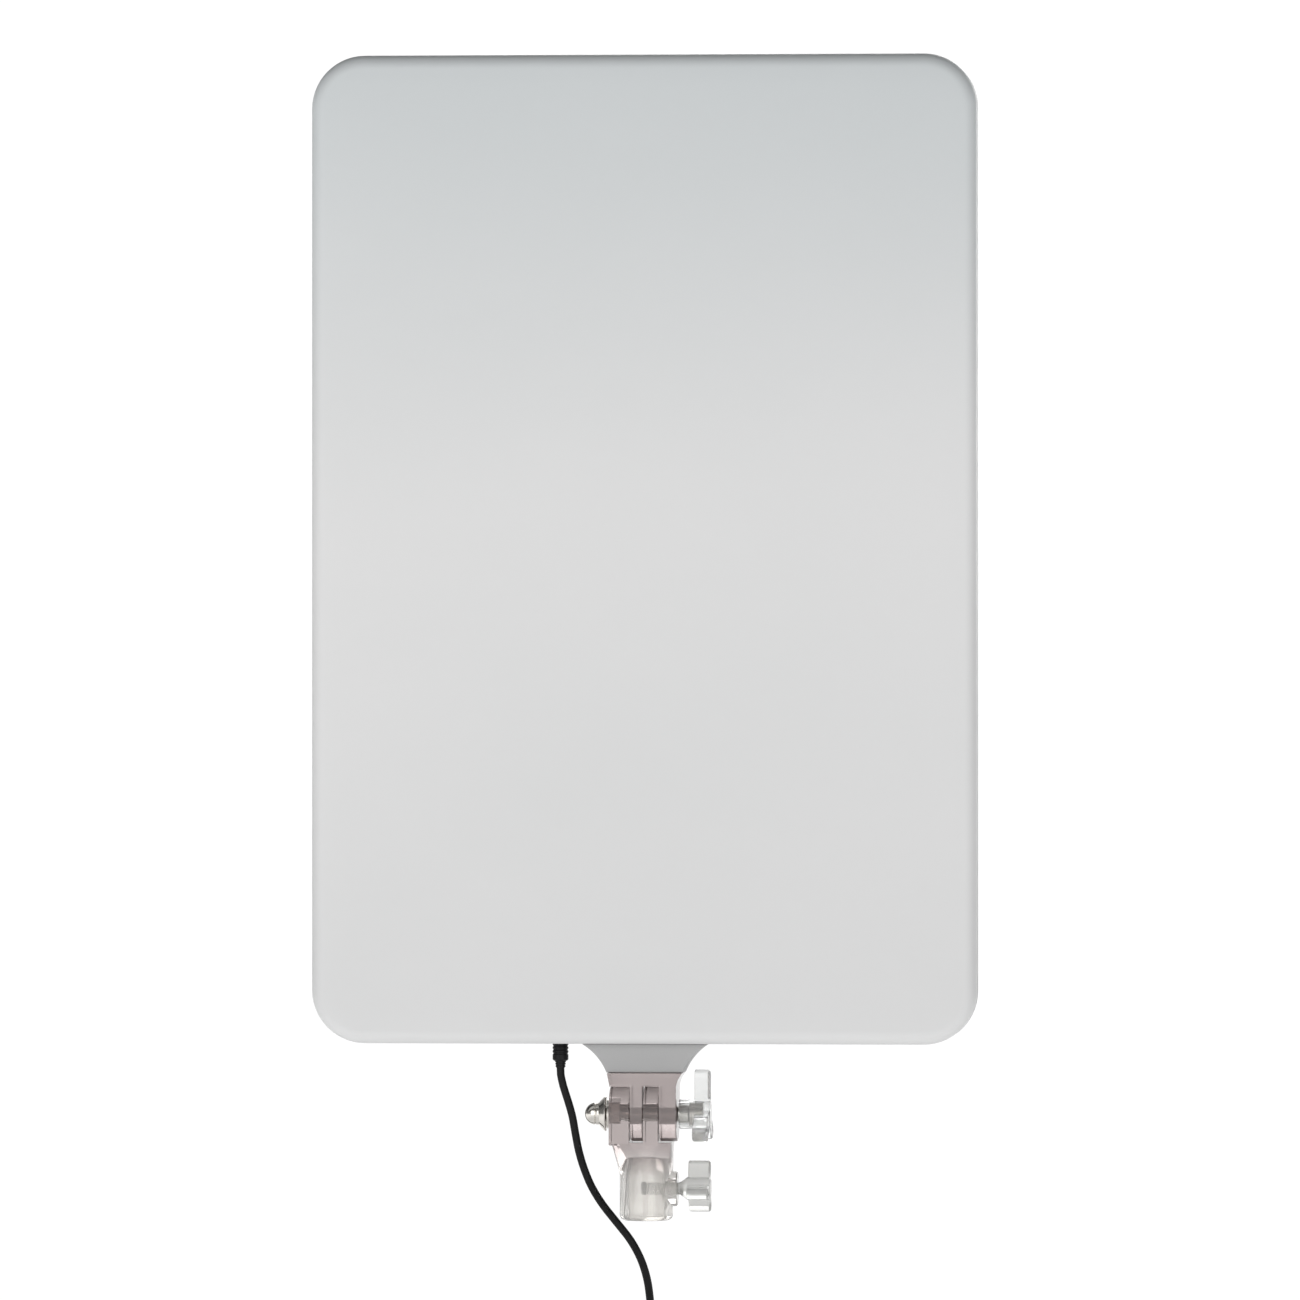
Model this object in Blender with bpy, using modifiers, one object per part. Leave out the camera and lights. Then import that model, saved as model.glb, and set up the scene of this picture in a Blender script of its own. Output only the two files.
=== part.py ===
"""LED panel light: a soft panel on a tilting clear knuckle with a spigot socket.

Metres, +Z up. The origin is the centre of the socket's mouth, where a stand's
spigot enters. The light shines towards -Y and the tilt axis runs along X.
"""

import math

import bmesh
import bpy
from mathutils import Matrix, Vector

# ---------------------------------------------------------------- fits
GAP = 0.0003                # between pieces that touch
RUNNING_GAP = 0.0006        # between pieces that turn past each other
SINK = 0.0002               # how far a fused shape starts inside its neighbour
OVERSHOOT = 0.001           # how far a cutter runs past a face

# ---------------------------------------------------------------- panel
PANEL_WIDTH = 0.300
PANEL_HEIGHT = 0.445
PANEL_DEPTH = 0.020
PANEL_FRONT_Y = -0.022
PANEL_CORNER_RADIUS = 0.024
FRONT_EDGE_RADIUS = 0.006
BACK_EDGE_RADIUS = 0.003
SHELL_WALL = 0.0022
REAR_COVER_DEPTH = 0.009
POST_RADIUS = 0.0036
BOSS_RADIUS = 0.0046
POST_END_INSET = 0.034      # from the panel's top and bottom edges
VENT_LENGTH = 0.034
VENT_WIDTH = 0.0026
VENT_END_RADIUS = 0.00117
VENT_PITCH = 0.0075
VENTS_PER_GROUP = 5
VENT_GROUP_X = 0.060
VENT_TOP_INSET = 0.070      # from the panel's top edge to the first vent
WINDOW_WIDTH = 0.030
WINDOW_HEIGHT = 0.012
WINDOW_RISE = 0.038         # from the panel's bottom edge

# ---------------------------------------------------------------- light engine
TRAY_GAP = 0.0030           # between the screw bosses' ends and the tray's back
TRAY_WALL = 0.0008
TRAY_DEPTH = 0.0060
TRAY_SIDE_ROOM = 0.0012     # between the tray and the screw posts
TRAY_END_INSET = 0.010      # from the panel's top and bottom edges
TRAY_CORNER_RADIUS = 0.012
STRIP_COUNT = 6
STRIP_PITCH = 0.046
STRIP_WIDTH = 0.012
STRIP_THICKNESS = 0.0012
STRIP_END_INSET = 0.0225    # from the panel's top and bottom edges
LED_COUNT = 11
LED_SIZE = 0.0050
LED_HEIGHT = 0.0009
LED_FIRST_INSET = 0.028     # from the strip's lower end to its first package
LED_LAST_INSET = 0.014      # from the strip's upper end to its last package
WIRE_RADIUS = 0.0006
WIRE_SPACING = 0.008

# ---------------------------------------------------------------- housing and neck
HOUSING_WIDTH = 0.104
HOUSING_HEIGHT = 0.086
HOUSING_RISE = 0.004        # of the housing's lower wall above the panel's bottom
HOUSING_DEPTH = 0.014       # behind the panel's back
HOUSING_WALL = 0.0022
HOUSING_TOP_RADIUS = 0.012
HOUSING_FOOT_RADIUS = 0.006
HOUSING_EDGE_RADIUS = 0.0024
HOUSING_POST_RADIUS = 0.0045
HOUSING_POST_SIDE_INSET = 0.009
HOUSING_POST_LOW_INSET = 0.024
HOUSING_POST_TOP_INSET = 0.010
WELL_FLOOR = 0.004          # of a screw's well, behind the panel's back
NECK_HALF_WIDTH = 0.0173
NECK_HEIGHT = 0.013         # below the panel's bottom edge
NECK_FILLET = 0.006
NECK_FLARE_ANGLE = math.radians(48.0)
FLARE_END_RADIUS = 0.0035   # where the flare meets the housing's lower wall
TENON_HALF_WIDTH = 0.009
TENON_HALF_DEPTH = 0.005
TENON_LENGTH = 0.010
TENON_SCREW_X = 0.005
TENON_SCREW_TIP_INSET = 0.0009

# ---------------------------------------------------------------- controls
BUTTON_TOP_INSET = 0.024    # from the housing's top edge
BUTTON_INNER_X = 0.012
BUTTON_PITCH = 0.016
BUTTON_RADIUS = 0.0045
BUTTON_CROWN = 0.0005
BUTTON_PROUD = 0.0011
BUTTON_FLANGE = 0.0010
BUTTON_FLANGE_RIM = 0.0009
BUTTON_STEM_RADIUS = 0.0015
BUTTON_STEM_LENGTH = 0.0016
BUTTON_TRAVEL = 0.0007
BUTTON_ROOM = 0.0003        # between a pressed button's stem and its switch
BUTTONS = {
    "button_power": -BUTTON_INNER_X - BUTTON_PITCH,
    "button_dimmer": -BUTTON_INNER_X,
    "button_brighter": BUTTON_INNER_X,
    "button_colour": BUTTON_INNER_X + BUTTON_PITCH,
}
LENS_RADIUS = 0.0016
LENS_PROUD = 0.0004
LENS_CROWN = 0.0005
LENS_FLANGE = 0.0009
LENS_FLANGE_RIM = 0.0008
BEZEL_END_MARGIN = 0.011    # beyond the outer buttons' centres
BEZEL_HEIGHT = 0.020
BEZEL_THICKNESS = 0.0008
BEZEL_CORNER_RADIUS = 0.004
BOARD_THICKNESS = 0.0016
BOARD_STANDOFF = 0.0046     # of its back face, behind the panel's back
BOARD_HEIGHT = 0.040
BOARD_ABOVE_BUTTONS = 0.016
CHIP_X = 0.017
CHIP_SIZE = 0.010
CHIP_HEIGHT = 0.0018
CAPACITOR_X = -0.018
CAPACITOR_RADIUS = 0.0030
CAPACITOR_ROOM = 0.0010     # between the capacitor and the housing's back wall
BOARD_SIDE_ROOM = 0.0015
SWITCH_SIZE = 0.0060
JACK_WIDTH = 0.0092
JACK_LENGTH = 0.0135
JACK_PIN_RADIUS = 0.0010

# ---------------------------------------------------------------- screws
SCREW_RADIUS = 0.00145
SCREW_HEAD_RADIUS = 0.0028
SCREW_HEAD_HEIGHT = 0.0018
SCREW_CROSS_WIDTH = 0.0007
SCREW_CROSS_LENGTH = 0.0030
SCREW_CROSS_DEPTH = 0.0010
SCREW_CROWN_RADIUS = 0.0020
SCREW_CROWN = 0.0008
SCREW_POINT = 0.0010
COVER_SCREW_TIP_ROOM = 0.0010
HOUSING_SCREW_LENGTH = 0.0060

# ---------------------------------------------------------------- knuckle
KNUCKLE_RADIUS = 0.0124
FINGER_A1 = (-0.0162, -0.0070)
FINGER_B1_THICKNESS = 0.0057
FINGER_A2_THICKNESS = 0.0068
FINGER_B2_THICKNESS = 0.0078
WEB_THICKNESS = 0.0057
WEB_LEFT_STEP = 0.0004      # between the web's left end and the outer lower finger's
WEB_SPREAD = 0.0022         # how much the web widens up to the neck
WEB_SPREAD_HALFWAY = 0.0008
FINGER_ROOT = 0.0008        # how far a finger runs into what it stands on

# ---------------------------------------------------------------- socket
SOCKET_BORE_RADIUS = 0.0082
SOCKET_WALL = 0.0039
SOCKET_DEPTH = 0.0287
SOCKET_ROOF = 0.0063
SOCKET_FOOT_RADIUS = 0.0028
SOCKET_TAPER_Z = 0.0205
SHOULDER_LEFT_X = -0.0154
SHOULDER_RIGHT_X = 0.0121
SHOULDER_SOFTNESS = 0.22    # 0 is a sharp square, 1 is round

# ---------------------------------------------------------------- tilt bolt and knob
BOLT_RADIUS = 0.0030
BOLT_SQUARE = 0.0080
BOLT_SQUARE_LENGTH = 0.0043
WASHER_RIM = 0.0033
WASHER_THICKNESS = 0.0012
NUT_WALL = 0.0017
NUT_FLANGE_RIM = 0.0030
NUT_FLANGE_EDGE = 0.0007
NUT_FLANGE_HEIGHT = 0.0033
NUT_BODY_HEIGHT = 0.0016
NUT_END_WALL = 0.0018
SLEEVE_WALL = 0.0007
SLEEVE_LENGTH = 0.0048
FERRULE_WALL = 0.0019
FERRULE_LENGTH = 0.0063
KNOB_HUB_WALL = 0.0012
KNOB_END_WALL = 0.0030
KNOB_EDGE_RADIUS = 0.0009
KNOB_ARM_LENGTH = 0.0202
KNOB_ARM_HALF_WIDTH = 0.0036
KNOB_ARM_THICKNESS = 0.0074
KNOB_ARMS = 3
KNOB_TURN = 0.0

# ---------------------------------------------------------------- clamp screw
CLAMP_Z = 0.0144
CLAMP_BOSS_RADIUS = 0.0080
CLAMP_BOSS_PROUD = 0.0021   # beyond the socket's outside
CLAMP_BOSS_START = 0.0005   # outside the bore
CLAMP_SCREW_RADIUS = 0.0030
CLAMP_TIP_X = 0.0002
CLAMP_NOSE_RADIUS = 0.0014
CLAMP_NOSE_LENGTH = 0.0015
CLAMP_PAD_THICKNESS = 0.0022
CLAMP_COLLAR_LENGTH = 0.0030
CLAMP_COLLAR_ROOM = 0.0014  # between the collar and the boss
CLAMP_HUB_RADIUS = 0.0052
CLAMP_HUB_LENGTH = 0.0106
CLAMP_ARM_LENGTH = 0.0132
CLAMP_ARM_HALF_WIDTH = 0.0028
CLAMP_ARM_THICKNESS = 0.0100
CLAMP_TURN = math.radians(-20.0)

# ---------------------------------------------------------------- power lead
CORD_RADIUS = 0.0018
PLUG_RADIUS = 0.0036
PLUG_LENGTH = 0.0120
PLUG_EDGE = 0.0005
PLUG_RELIEF_LENGTH = 0.0032
PLUG_RELIEF_WALL = 0.0006
PLUG_RELIEF_END_WALL = 0.0002
BARREL_RADIUS = 0.00275
BARREL_BORE_RADIUS = 0.0014
BARREL_LENGTH = 0.0095
CORD_ROUTE = [
    (-0.0393, 0.0045, 0.0681),
    (-0.0392, 0.0045, 0.0655),
    (-0.0381, 0.0046, 0.0604),
    (-0.0361, 0.0049, 0.0540),
    (-0.0341, 0.0054, 0.0469),
    (-0.0327, 0.0061, 0.0388),
    (-0.0312, 0.0071, 0.0307),
    (-0.0289, 0.0085, 0.0226),
    (-0.0256, 0.0102, 0.0144),
    (-0.0208, 0.0122, 0.0063),
    (-0.0146, 0.0142, -0.0018),
    (-0.0085, 0.0162, -0.0099),
    (-0.0041, 0.0188, -0.0185),
    (-0.0015, 0.0217, -0.0275),
    (-0.0004, 0.0247, -0.0365),
    (0.0, 0.0275, -0.0455),
    (0.0, 0.0294, -0.0535),
    (0.0, 0.0300, -0.0600),
]
CORD_STEP = 0.0085          # along the tube, between its points
COIL_MEAN_RADIUS = 0.0200
COIL_ROWS = 4
COIL_COLUMNS = 2
COIL_EDGE = 0.0011
TIE_WALL = 0.0012
TIE_WIDTH = 0.0080
TIE_ROOM = 0.0005
TIE_CORNER_RADIUS = 0.0008
TAIL_LENGTH = 0.0170
RELIEF_LENGTH = 0.0140
RELIEF_SMALL_WALL = 0.0006
RELIEF_LARGE_WALL = 0.0018
ADAPTER_WIDTH = 0.0440
ADAPTER_DEPTH = 0.0280
ADAPTER_HEIGHT = 0.0700
ADAPTER_CORNER_RADIUS = 0.006
ADAPTER_EDGE_RADIUS = 0.002
ADAPTER_PIN_RADIUS = 0.0020
ADAPTER_PIN_LENGTH = 0.0190
ADAPTER_PIN_SPACING = 0.0190
ADAPTER_PIN_DROP = 0.0460   # from the adapter's top down to its pins

# ---------------------------------------------------------------- smoothness
ROUND_STEPS = 32            # socket, hubs and coil
METAL_STEPS = 20            # bolt, nut, sleeves and the holes for them
HOLE_STEPS = 16             # buttons, plug and the holes for them
SMALL_STEPS = 12            # screws, posts and pins
PANEL_STEPS = 7             # each of the panel's corners
CORNER_STEPS = 6
EDGE_STEPS = 3

# ---------------------------------------------------------------- worked out from the above
SOCKET_RADIUS = SOCKET_BORE_RADIUS + SOCKET_WALL
SHOULDER_Z = SOCKET_DEPTH + SOCKET_ROOF
TILT_Z = SHOULDER_Z + RUNNING_GAP + KNUCKLE_RADIUS
WEB_BOTTOM_Z = TILT_Z + KNUCKLE_RADIUS + RUNNING_GAP
WEB_TOP_Z = WEB_BOTTOM_Z + WEB_THICKNESS
NECK_BOTTOM_Z = WEB_TOP_Z + GAP
PANEL_BOTTOM_Z = NECK_BOTTOM_Z + NECK_HEIGHT
PANEL_TOP_Z = PANEL_BOTTOM_Z + PANEL_HEIGHT
PANEL_MID_Z = PANEL_BOTTOM_Z + PANEL_HEIGHT / 2
PANEL_BACK_Y = PANEL_FRONT_Y + PANEL_DEPTH
SPLIT_Y = PANEL_BACK_Y - REAR_COVER_DEPTH
INNER_FRONT_Y = PANEL_FRONT_Y + SHELL_WALL
INNER_BACK_Y = PANEL_BACK_Y - SHELL_WALL
POST_X = PANEL_WIDTH / 2 - SHELL_WALL - POST_RADIUS + SINK * 2
POST_ZS = (PANEL_BOTTOM_Z + POST_END_INSET, PANEL_MID_Z, PANEL_TOP_Z - POST_END_INSET)
SCREW_HOLE_RADIUS = SCREW_RADIUS + GAP
WELL_RADIUS = SCREW_HEAD_RADIUS + GAP
TRAY_BACK_Y = INNER_BACK_Y - TRAY_GAP
TRAY_FLOOR_Y = TRAY_BACK_Y - TRAY_WALL
TRAY_HALF_WIDTH = POST_X - BOSS_RADIUS - TRAY_SIDE_ROOM
STRIP_BACK_Y = TRAY_FLOOR_Y - GAP
STRIP_FRONT_Y = STRIP_BACK_Y - STRIP_THICKNESS
HOUSING_BOTTOM_Z = PANEL_BOTTOM_Z + HOUSING_RISE
HOUSING_TOP_Z = HOUSING_BOTTOM_Z + HOUSING_HEIGHT
HOUSING_FRONT_Y = PANEL_BACK_Y + GAP
HOUSING_BACK_Y = PANEL_BACK_Y + HOUSING_DEPTH
HOUSING_INNER_BACK_Y = HOUSING_BACK_Y - HOUSING_WALL
HOUSING_INNER_BOTTOM_Z = HOUSING_BOTTOM_Z + HOUSING_WALL
HOUSING_POST_X = HOUSING_WIDTH / 2 - HOUSING_POST_SIDE_INSET
HOUSING_POST_ZS = (
    HOUSING_BOTTOM_Z + HOUSING_POST_LOW_INSET, HOUSING_TOP_Z - HOUSING_POST_TOP_INSET
)
WELL_FLOOR_Y = PANEL_BACK_Y + WELL_FLOOR
WINDOW_Z = PANEL_BOTTOM_Z + WINDOW_RISE
BUTTON_Z = HOUSING_TOP_Z - BUTTON_TOP_INSET
BEZEL_HALF_WIDTH = BUTTON_INNER_X + BUTTON_PITCH + BEZEL_END_MARGIN
BEZEL_FLOOR_Y = HOUSING_BACK_Y - BEZEL_THICKNESS / 2
BEZEL_BACK_Y = BEZEL_FLOOR_Y + GAP + BEZEL_THICKNESS
BUTTON_FLANGE_TOP_Y = HOUSING_INNER_BACK_Y - GAP
BUTTON_TIP_Y = BUTTON_FLANGE_TOP_Y - BUTTON_FLANGE - BUTTON_STEM_LENGTH
SWITCH_TOP_Y = BUTTON_TIP_Y - BUTTON_TRAVEL - BUTTON_ROOM
BOARD_BACK_Y = PANEL_BACK_Y + BOARD_STANDOFF
BOARD_HALF_WIDTH = HOUSING_POST_X - HOUSING_POST_RADIUS - BOARD_SIDE_ROOM
FINGER_B1 = (FINGER_A1[1] + GAP, FINGER_A1[1] + GAP + FINGER_B1_THICKNESS)
FINGER_A2 = (FINGER_B1[1] + GAP, FINGER_B1[1] + GAP + FINGER_A2_THICKNESS)
FINGER_B2 = (FINGER_A2[1] + GAP, FINGER_A2[1] + GAP + FINGER_B2_THICKNESS)
BOLT_HOLE_RADIUS = BOLT_RADIUS + GAP
WASHER_RADIUS = BOLT_HOLE_RADIUS + WASHER_RIM
NUT_DOME_RADIUS = BOLT_HOLE_RADIUS + NUT_WALL
NUT_FLANGE_RADIUS = NUT_DOME_RADIUS + NUT_FLANGE_RIM
SLEEVE_RADIUS = BOLT_HOLE_RADIUS + SLEEVE_WALL
FERRULE_RADIUS = BOLT_HOLE_RADIUS + FERRULE_WALL
KNOB_HUB_RADIUS = FERRULE_RADIUS + GAP + KNOB_HUB_WALL
WASHER_X = FINGER_A1[0] - GAP - WASHER_THICKNESS
NUT_X = WASHER_X - GAP
NUT_TIP_X = NUT_X - NUT_FLANGE_HEIGHT - NUT_BODY_HEIGHT - NUT_DOME_RADIUS
SLEEVE_X = FINGER_B2[1] + GAP
FERRULE_X = SLEEVE_X + SLEEVE_LENGTH + GAP
KNOB_X = FINGER_B2[1] + RUNNING_GAP
KNOB_END_X = FERRULE_X + FERRULE_LENGTH + GAP + KNOB_END_WALL
CLAMP_BOSS_END_X = SOCKET_RADIUS + CLAMP_BOSS_PROUD
CLAMP_KNOB_X = CLAMP_BOSS_END_X + CLAMP_COLLAR_ROOM + CLAMP_COLLAR_LENGTH
PLUG_X, PLUG_Y = CORD_ROUTE[0][:2]
PLUG_TOP_Z = HOUSING_BOTTOM_Z - GAP
HANG_Y = CORD_ROUTE[-1][1]
COIL_HALF_BAND = COIL_ROWS * CORD_RADIUS
COIL_HALF_DEPTH = COIL_COLUMNS * CORD_RADIUS
COIL_OUTER_RADIUS = COIL_MEAN_RADIUS + COIL_HALF_BAND
COIL_INNER_RADIUS = COIL_MEAN_RADIUS - COIL_HALF_BAND
COIL_X = COIL_OUTER_RADIUS - CORD_RADIUS
COIL_REACH = math.sqrt(COIL_OUTER_RADIUS ** 2 - (COIL_X - CORD_RADIUS) ** 2) + GAP
COIL_Z = CORD_ROUTE[-1][2] - COIL_REACH
TAIL_TOP_Z = COIL_Z - COIL_REACH
TAIL_BOTTOM_Z = TAIL_TOP_Z - TAIL_LENGTH
RELIEF_TOP_Z = TAIL_BOTTOM_Z - GAP
ADAPTER_TOP_Z = RELIEF_TOP_Z - RELIEF_LENGTH - GAP
ADAPTER_BOTTOM_Z = ADAPTER_TOP_Z - ADAPTER_HEIGHT

# local XY outline planes: which way an outline's x, y and thickness run
FACING_Y = Matrix(((1, 0, 0, 0), (0, 0, -1, 0), (0, 1, 0, 0), (0, 0, 0, 1)))
FACING_X = Matrix(((0, 0, 1, 0), (1, 0, 0, 0), (0, 1, 0, 0), (0, 0, 0, 1)))
TURN_TO = {
    "X": Matrix.Rotation(math.radians(90), 4, "Y"),
    "Y": Matrix.Rotation(math.radians(-90), 4, "X"),
    "Z": Matrix.Identity(4),
}


# ---------------------------------------------------------------- scene and materials
def empty_scene():
    """Remove the objects that a new scene comes with."""
    for item in list(bpy.data.objects):
        bpy.data.objects.remove(item)


def new_collection(name):
    """A collection linked to the scene."""
    collection = bpy.data.collections.new(name)
    bpy.context.scene.collection.children.link(collection)
    return collection


empty_scene()
PARTS = new_collection("led_panel_light")
CUTTERS = new_collection("cutters")


def material(name, colour, roughness, metallic=0.0, transmission=0.0):
    """A Principled material."""
    result = bpy.data.materials.new(name)
    result.use_nodes = True
    shader = result.node_tree.nodes["Principled BSDF"]
    shader.inputs["Base Color"].default_value = (*colour, 1.0)
    shader.inputs["Roughness"].default_value = roughness
    shader.inputs["Metallic"].default_value = metallic
    shader.inputs["Transmission Weight"].default_value = transmission
    return result


def opal(name):
    return material(name, (0.78, 0.79, 0.79), 0.35)


def grey_plastic(name):
    return material(name, (0.50, 0.50, 0.50), 0.5)


def clear_plastic(name):
    return material(name, (0.86, 0.82, 0.80), 0.08, transmission=0.9)


def bright_metal(name):
    return material(name, (0.80, 0.78, 0.74), 0.2, metallic=1.0)


def black_plastic(name):
    return material(name, (0.012, 0.012, 0.013), 0.4)


def white_sheet(name):
    return material(name, (0.90, 0.90, 0.88), 0.6)


def board_green(name):
    return material(name, (0.03, 0.17, 0.08), 0.5)


# ---------------------------------------------------------------- shapes
def as_object(name, mesh):
    """A mesh as an object that is not yet in a collection."""
    return bpy.data.objects.new(name, mesh)


def as_part(item, make_material):
    """Put a finished object in the parts' collection with its own material."""
    PARTS.objects.link(item)
    item.data.materials.clear()
    item.data.materials.append(make_material(item.name + "_material"))
    item.data.shade_smooth()
    item.data.set_sharp_from_angle(angle=math.radians(30.0))


def as_cutter(item):
    """Put a shape that cuts, or is fused to another, in the cutters' collection."""
    CUTTERS.objects.link(item)
    item.hide_render = True
    item.display_type = "WIRE"


def combine(item, other, operation):
    """Add a Boolean modifier for another shape."""
    as_cutter(other)
    modifier = item.modifiers.new(operation.lower(), "BOOLEAN")
    modifier.operation = operation
    modifier.object = other


def cut(item, *others):
    for other in others:
        combine(item, other, "DIFFERENCE")


def fuse(item, *others):
    for other in others:
        combine(item, other, "UNION")


def mesh_from(build, name):
    """A mesh object from a bmesh, with its faces pointing out."""
    bmesh.ops.recalc_face_normals(build, faces=build.faces)
    mesh = bpy.data.meshes.new(name)
    build.to_mesh(mesh)
    build.free()
    return as_object(name, mesh)


def block(name, low, high):
    """A plain box between two corners."""
    build = bmesh.new()
    size = [high[i] - low[i] for i in range(3)]
    centre = [(high[i] + low[i]) / 2 for i in range(3)]
    place = Matrix.Translation(centre) @ Matrix.Diagonal((*size, 1.0))
    bmesh.ops.create_cube(build, size=1.0, matrix=place)
    return mesh_from(build, name)


def edges_along(build, axis):
    """The edges of a box that run along one axis."""
    return [
        edge for edge in build.edges
        if abs((edge.verts[1].co - edge.verts[0].co).normalized()[axis]) > 0.99
    ]


def rim_edges(build, axis, level):
    """The edges round a face that lies in one plane."""
    build.normal_update()
    return [
        edge for edge in build.edges
        if all(abs(vertex.co[axis] - level) < 1e-6 for vertex in edge.verts)
        and edge.calc_face_angle(0.0) > 0.2
    ]


def bevel(build, edges, radius, steps):
    bmesh.ops.bevel(
        build, geom=edges, offset=radius, segments=steps, profile=0.5, affect="EDGES"
    )


def rounded_block(name, low, high, corner, along=1, rims=(), steps=CORNER_STEPS):
    """A box with round corners about one axis; rims are (level, radius) to round too."""
    build = bmesh.new()
    size = [high[i] - low[i] for i in range(3)]
    centre = [(high[i] + low[i]) / 2 for i in range(3)]
    place = Matrix.Translation(centre) @ Matrix.Diagonal((*size, 1.0))
    bmesh.ops.create_cube(build, size=1.0, matrix=place)
    bevel(build, edges_along(build, along), corner, steps)
    for level, radius in rims:
        bevel(build, rim_edges(build, along, level), radius, EDGE_STEPS)
    return mesh_from(build, name)


def rod(name, radius, start, length, axis, steps=ROUND_STEPS):
    """A cylinder from a point along an axis."""
    build = bmesh.new()
    place = Matrix.Translation(start) @ TURN_TO[axis] @ Matrix.Translation((0, 0, length / 2))
    bmesh.ops.create_cone(
        build, cap_ends=True, segments=steps, radius1=radius, radius2=radius,
        depth=length, matrix=place,
    )
    return mesh_from(build, name)


def turned(name, profile, centre, axis, steps=ROUND_STEPS):
    """A profile of (radius, height) turned about an axis.

    It runs down the outer side, top to bottom; a ring's profile ends where it starts.
    """
    mesh = bpy.data.meshes.new(name)
    closed = profile[0] == profile[-1]
    points = [(radius, 0.0, height) for radius, height in profile]
    lines = [(i, i + 1) for i in range(len(points) - 1)]
    if closed:
        points.pop()
        lines[-1] = (len(points) - 1, 0)
    mesh.from_pydata(points, lines, [])
    item = as_object(name, mesh)
    item.matrix_world = Matrix.Translation(centre) @ TURN_TO[axis]
    screw = item.modifiers.new("turn", "SCREW")
    screw.steps = steps
    screw.render_steps = steps
    screw.use_merge_vertices = True
    screw.merge_threshold = 0.00001
    screw.use_smooth_shade = True
    return item


def arc(centre, radius, start, end, steps):
    """Points of an arc between two angles in degrees."""
    angles = [math.radians(start + (end - start) * i / steps) for i in range(steps + 1)]
    return [
        (centre[0] + radius * math.cos(a), centre[1] + radius * math.sin(a)) for a in angles
    ]


def plate(name, outline, low, high, plane, rims=()):
    """A flat outline with a thickness, as a mesh; rims are (level, radius) to round."""
    curve = bpy.data.curves.new(name, "CURVE")
    curve.dimensions = "2D"
    curve.fill_mode = "BOTH"
    curve.extrude = (high - low) / 2
    line = curve.splines.new("POLY")
    line.points.add(len(outline) - 1)
    for point, (x, y) in zip(line.points, outline):
        point.co = (x, y, 0.0, 1.0)
    line.use_cyclic_u = True
    guide = bpy.data.objects.new(name + "_outline", curve)
    bpy.context.scene.collection.objects.link(guide)
    bpy.context.view_layer.update()
    graph = bpy.context.evaluated_depsgraph_get()
    mesh = bpy.data.meshes.new_from_object(guide.evaluated_get(graph))
    bpy.data.objects.remove(guide)
    build = bmesh.new()
    build.from_mesh(mesh)
    bmesh.ops.remove_doubles(build, verts=build.verts, dist=0.00001)
    half = (high - low) / 2
    for level in (-half, half):
        flat = [
            face for face in build.faces
            if all(abs(vertex.co.z - level) < 1e-6 for vertex in face.verts)
        ]
        bmesh.ops.dissolve_faces(build, faces=flat)
    for level, radius in rims:
        bevel(build, rim_edges(build, 2, level), radius, EDGE_STEPS)
    middle = (low + high) / 2
    shift = (0, middle, 0) if plane is FACING_Y else (middle, 0, 0)
    build.transform(Matrix.Translation(shift) @ plane)
    return mesh_from(build, name)


def smooth_points(route, step):
    """Points a given step apart on a smooth curve through a route."""
    line = [Vector(point) for point in route]
    line = [2 * line[0] - line[1]] + line + [2 * line[-1] - line[-2]]
    dense = []
    for a, b, c, d in zip(line, line[1:], line[2:], line[3:]):
        for i in range(40):
            t = i / 40
            dense.append(0.5 * (
                2 * b + (c - a) * t
                + (2 * a - 5 * b + 4 * c - d) * t ** 2
                + (3 * b - a - 3 * c + d) * t ** 3
            ))
    dense.append(line[-2])
    length = sum((q - p).length for p, q in zip(dense, dense[1:]))
    count = max(2, round(length / step))
    wanted = [length * i / count for i in range(count + 1)]
    points = [dense[0]]
    walked = 0.0
    for p, q in zip(dense, dense[1:]):
        span = (q - p).length
        while len(points) < count and walked + span >= wanted[len(points)]:
            points.append(p.lerp(q, (wanted[len(points)] - walked) / span))
        walked += span
    points.append(dense[-1])
    return points


def tube(name, points, radius, resolution):
    """A round wire along points, with filled caps."""
    curve = bpy.data.curves.new(name, "CURVE")
    curve.dimensions = "3D"
    curve.bevel_depth = radius
    curve.bevel_resolution = resolution
    curve.use_fill_caps = True
    line = curve.splines.new("POLY")
    line.points.add(len(points) - 1)
    for point, place in zip(line.points, points):
        point.co = (*place, 1.0)
    return bpy.data.objects.new(name, curve)


def as_wire(item, make_material):
    """Put a curve object in the parts' collection."""
    PARTS.objects.link(item)
    item.data.materials.append(make_material(item.name + "_material"))


# ---------------------------------------------------------------- panel shells
def panel_block(name, front, back, inset, corner, rims=()):
    """A rounded block with the panel's outline, moved in by an inset."""
    low = (-PANEL_WIDTH / 2 + inset, front, PANEL_BOTTOM_Z + inset)
    high = (PANEL_WIDTH / 2 - inset, back, PANEL_TOP_Z - inset)
    return rounded_block(name, low, high, corner, rims=rims, steps=PANEL_STEPS)


def post_places():
    """Where the six screws of the rear cover go."""
    return [(side * POST_X, z) for z in POST_ZS for side in (-1, 1)]


def screw_hole(name, x, z, low, seat, high):
    """A cutter for a screw along Y: the shank's hole up to its seat, and the head's well."""
    profile = [
        (0.0, high + OVERSHOOT),
        (WELL_RADIUS, high + OVERSHOOT),
        (WELL_RADIUS, seat),
        (SCREW_HOLE_RADIUS, seat),
        (SCREW_HOLE_RADIUS, low - OVERSHOOT),
        (0.0, low - OVERSHOOT),
    ]
    return turned(name, profile, (x, 0, z), "Y", SMALL_STEPS)


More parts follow.
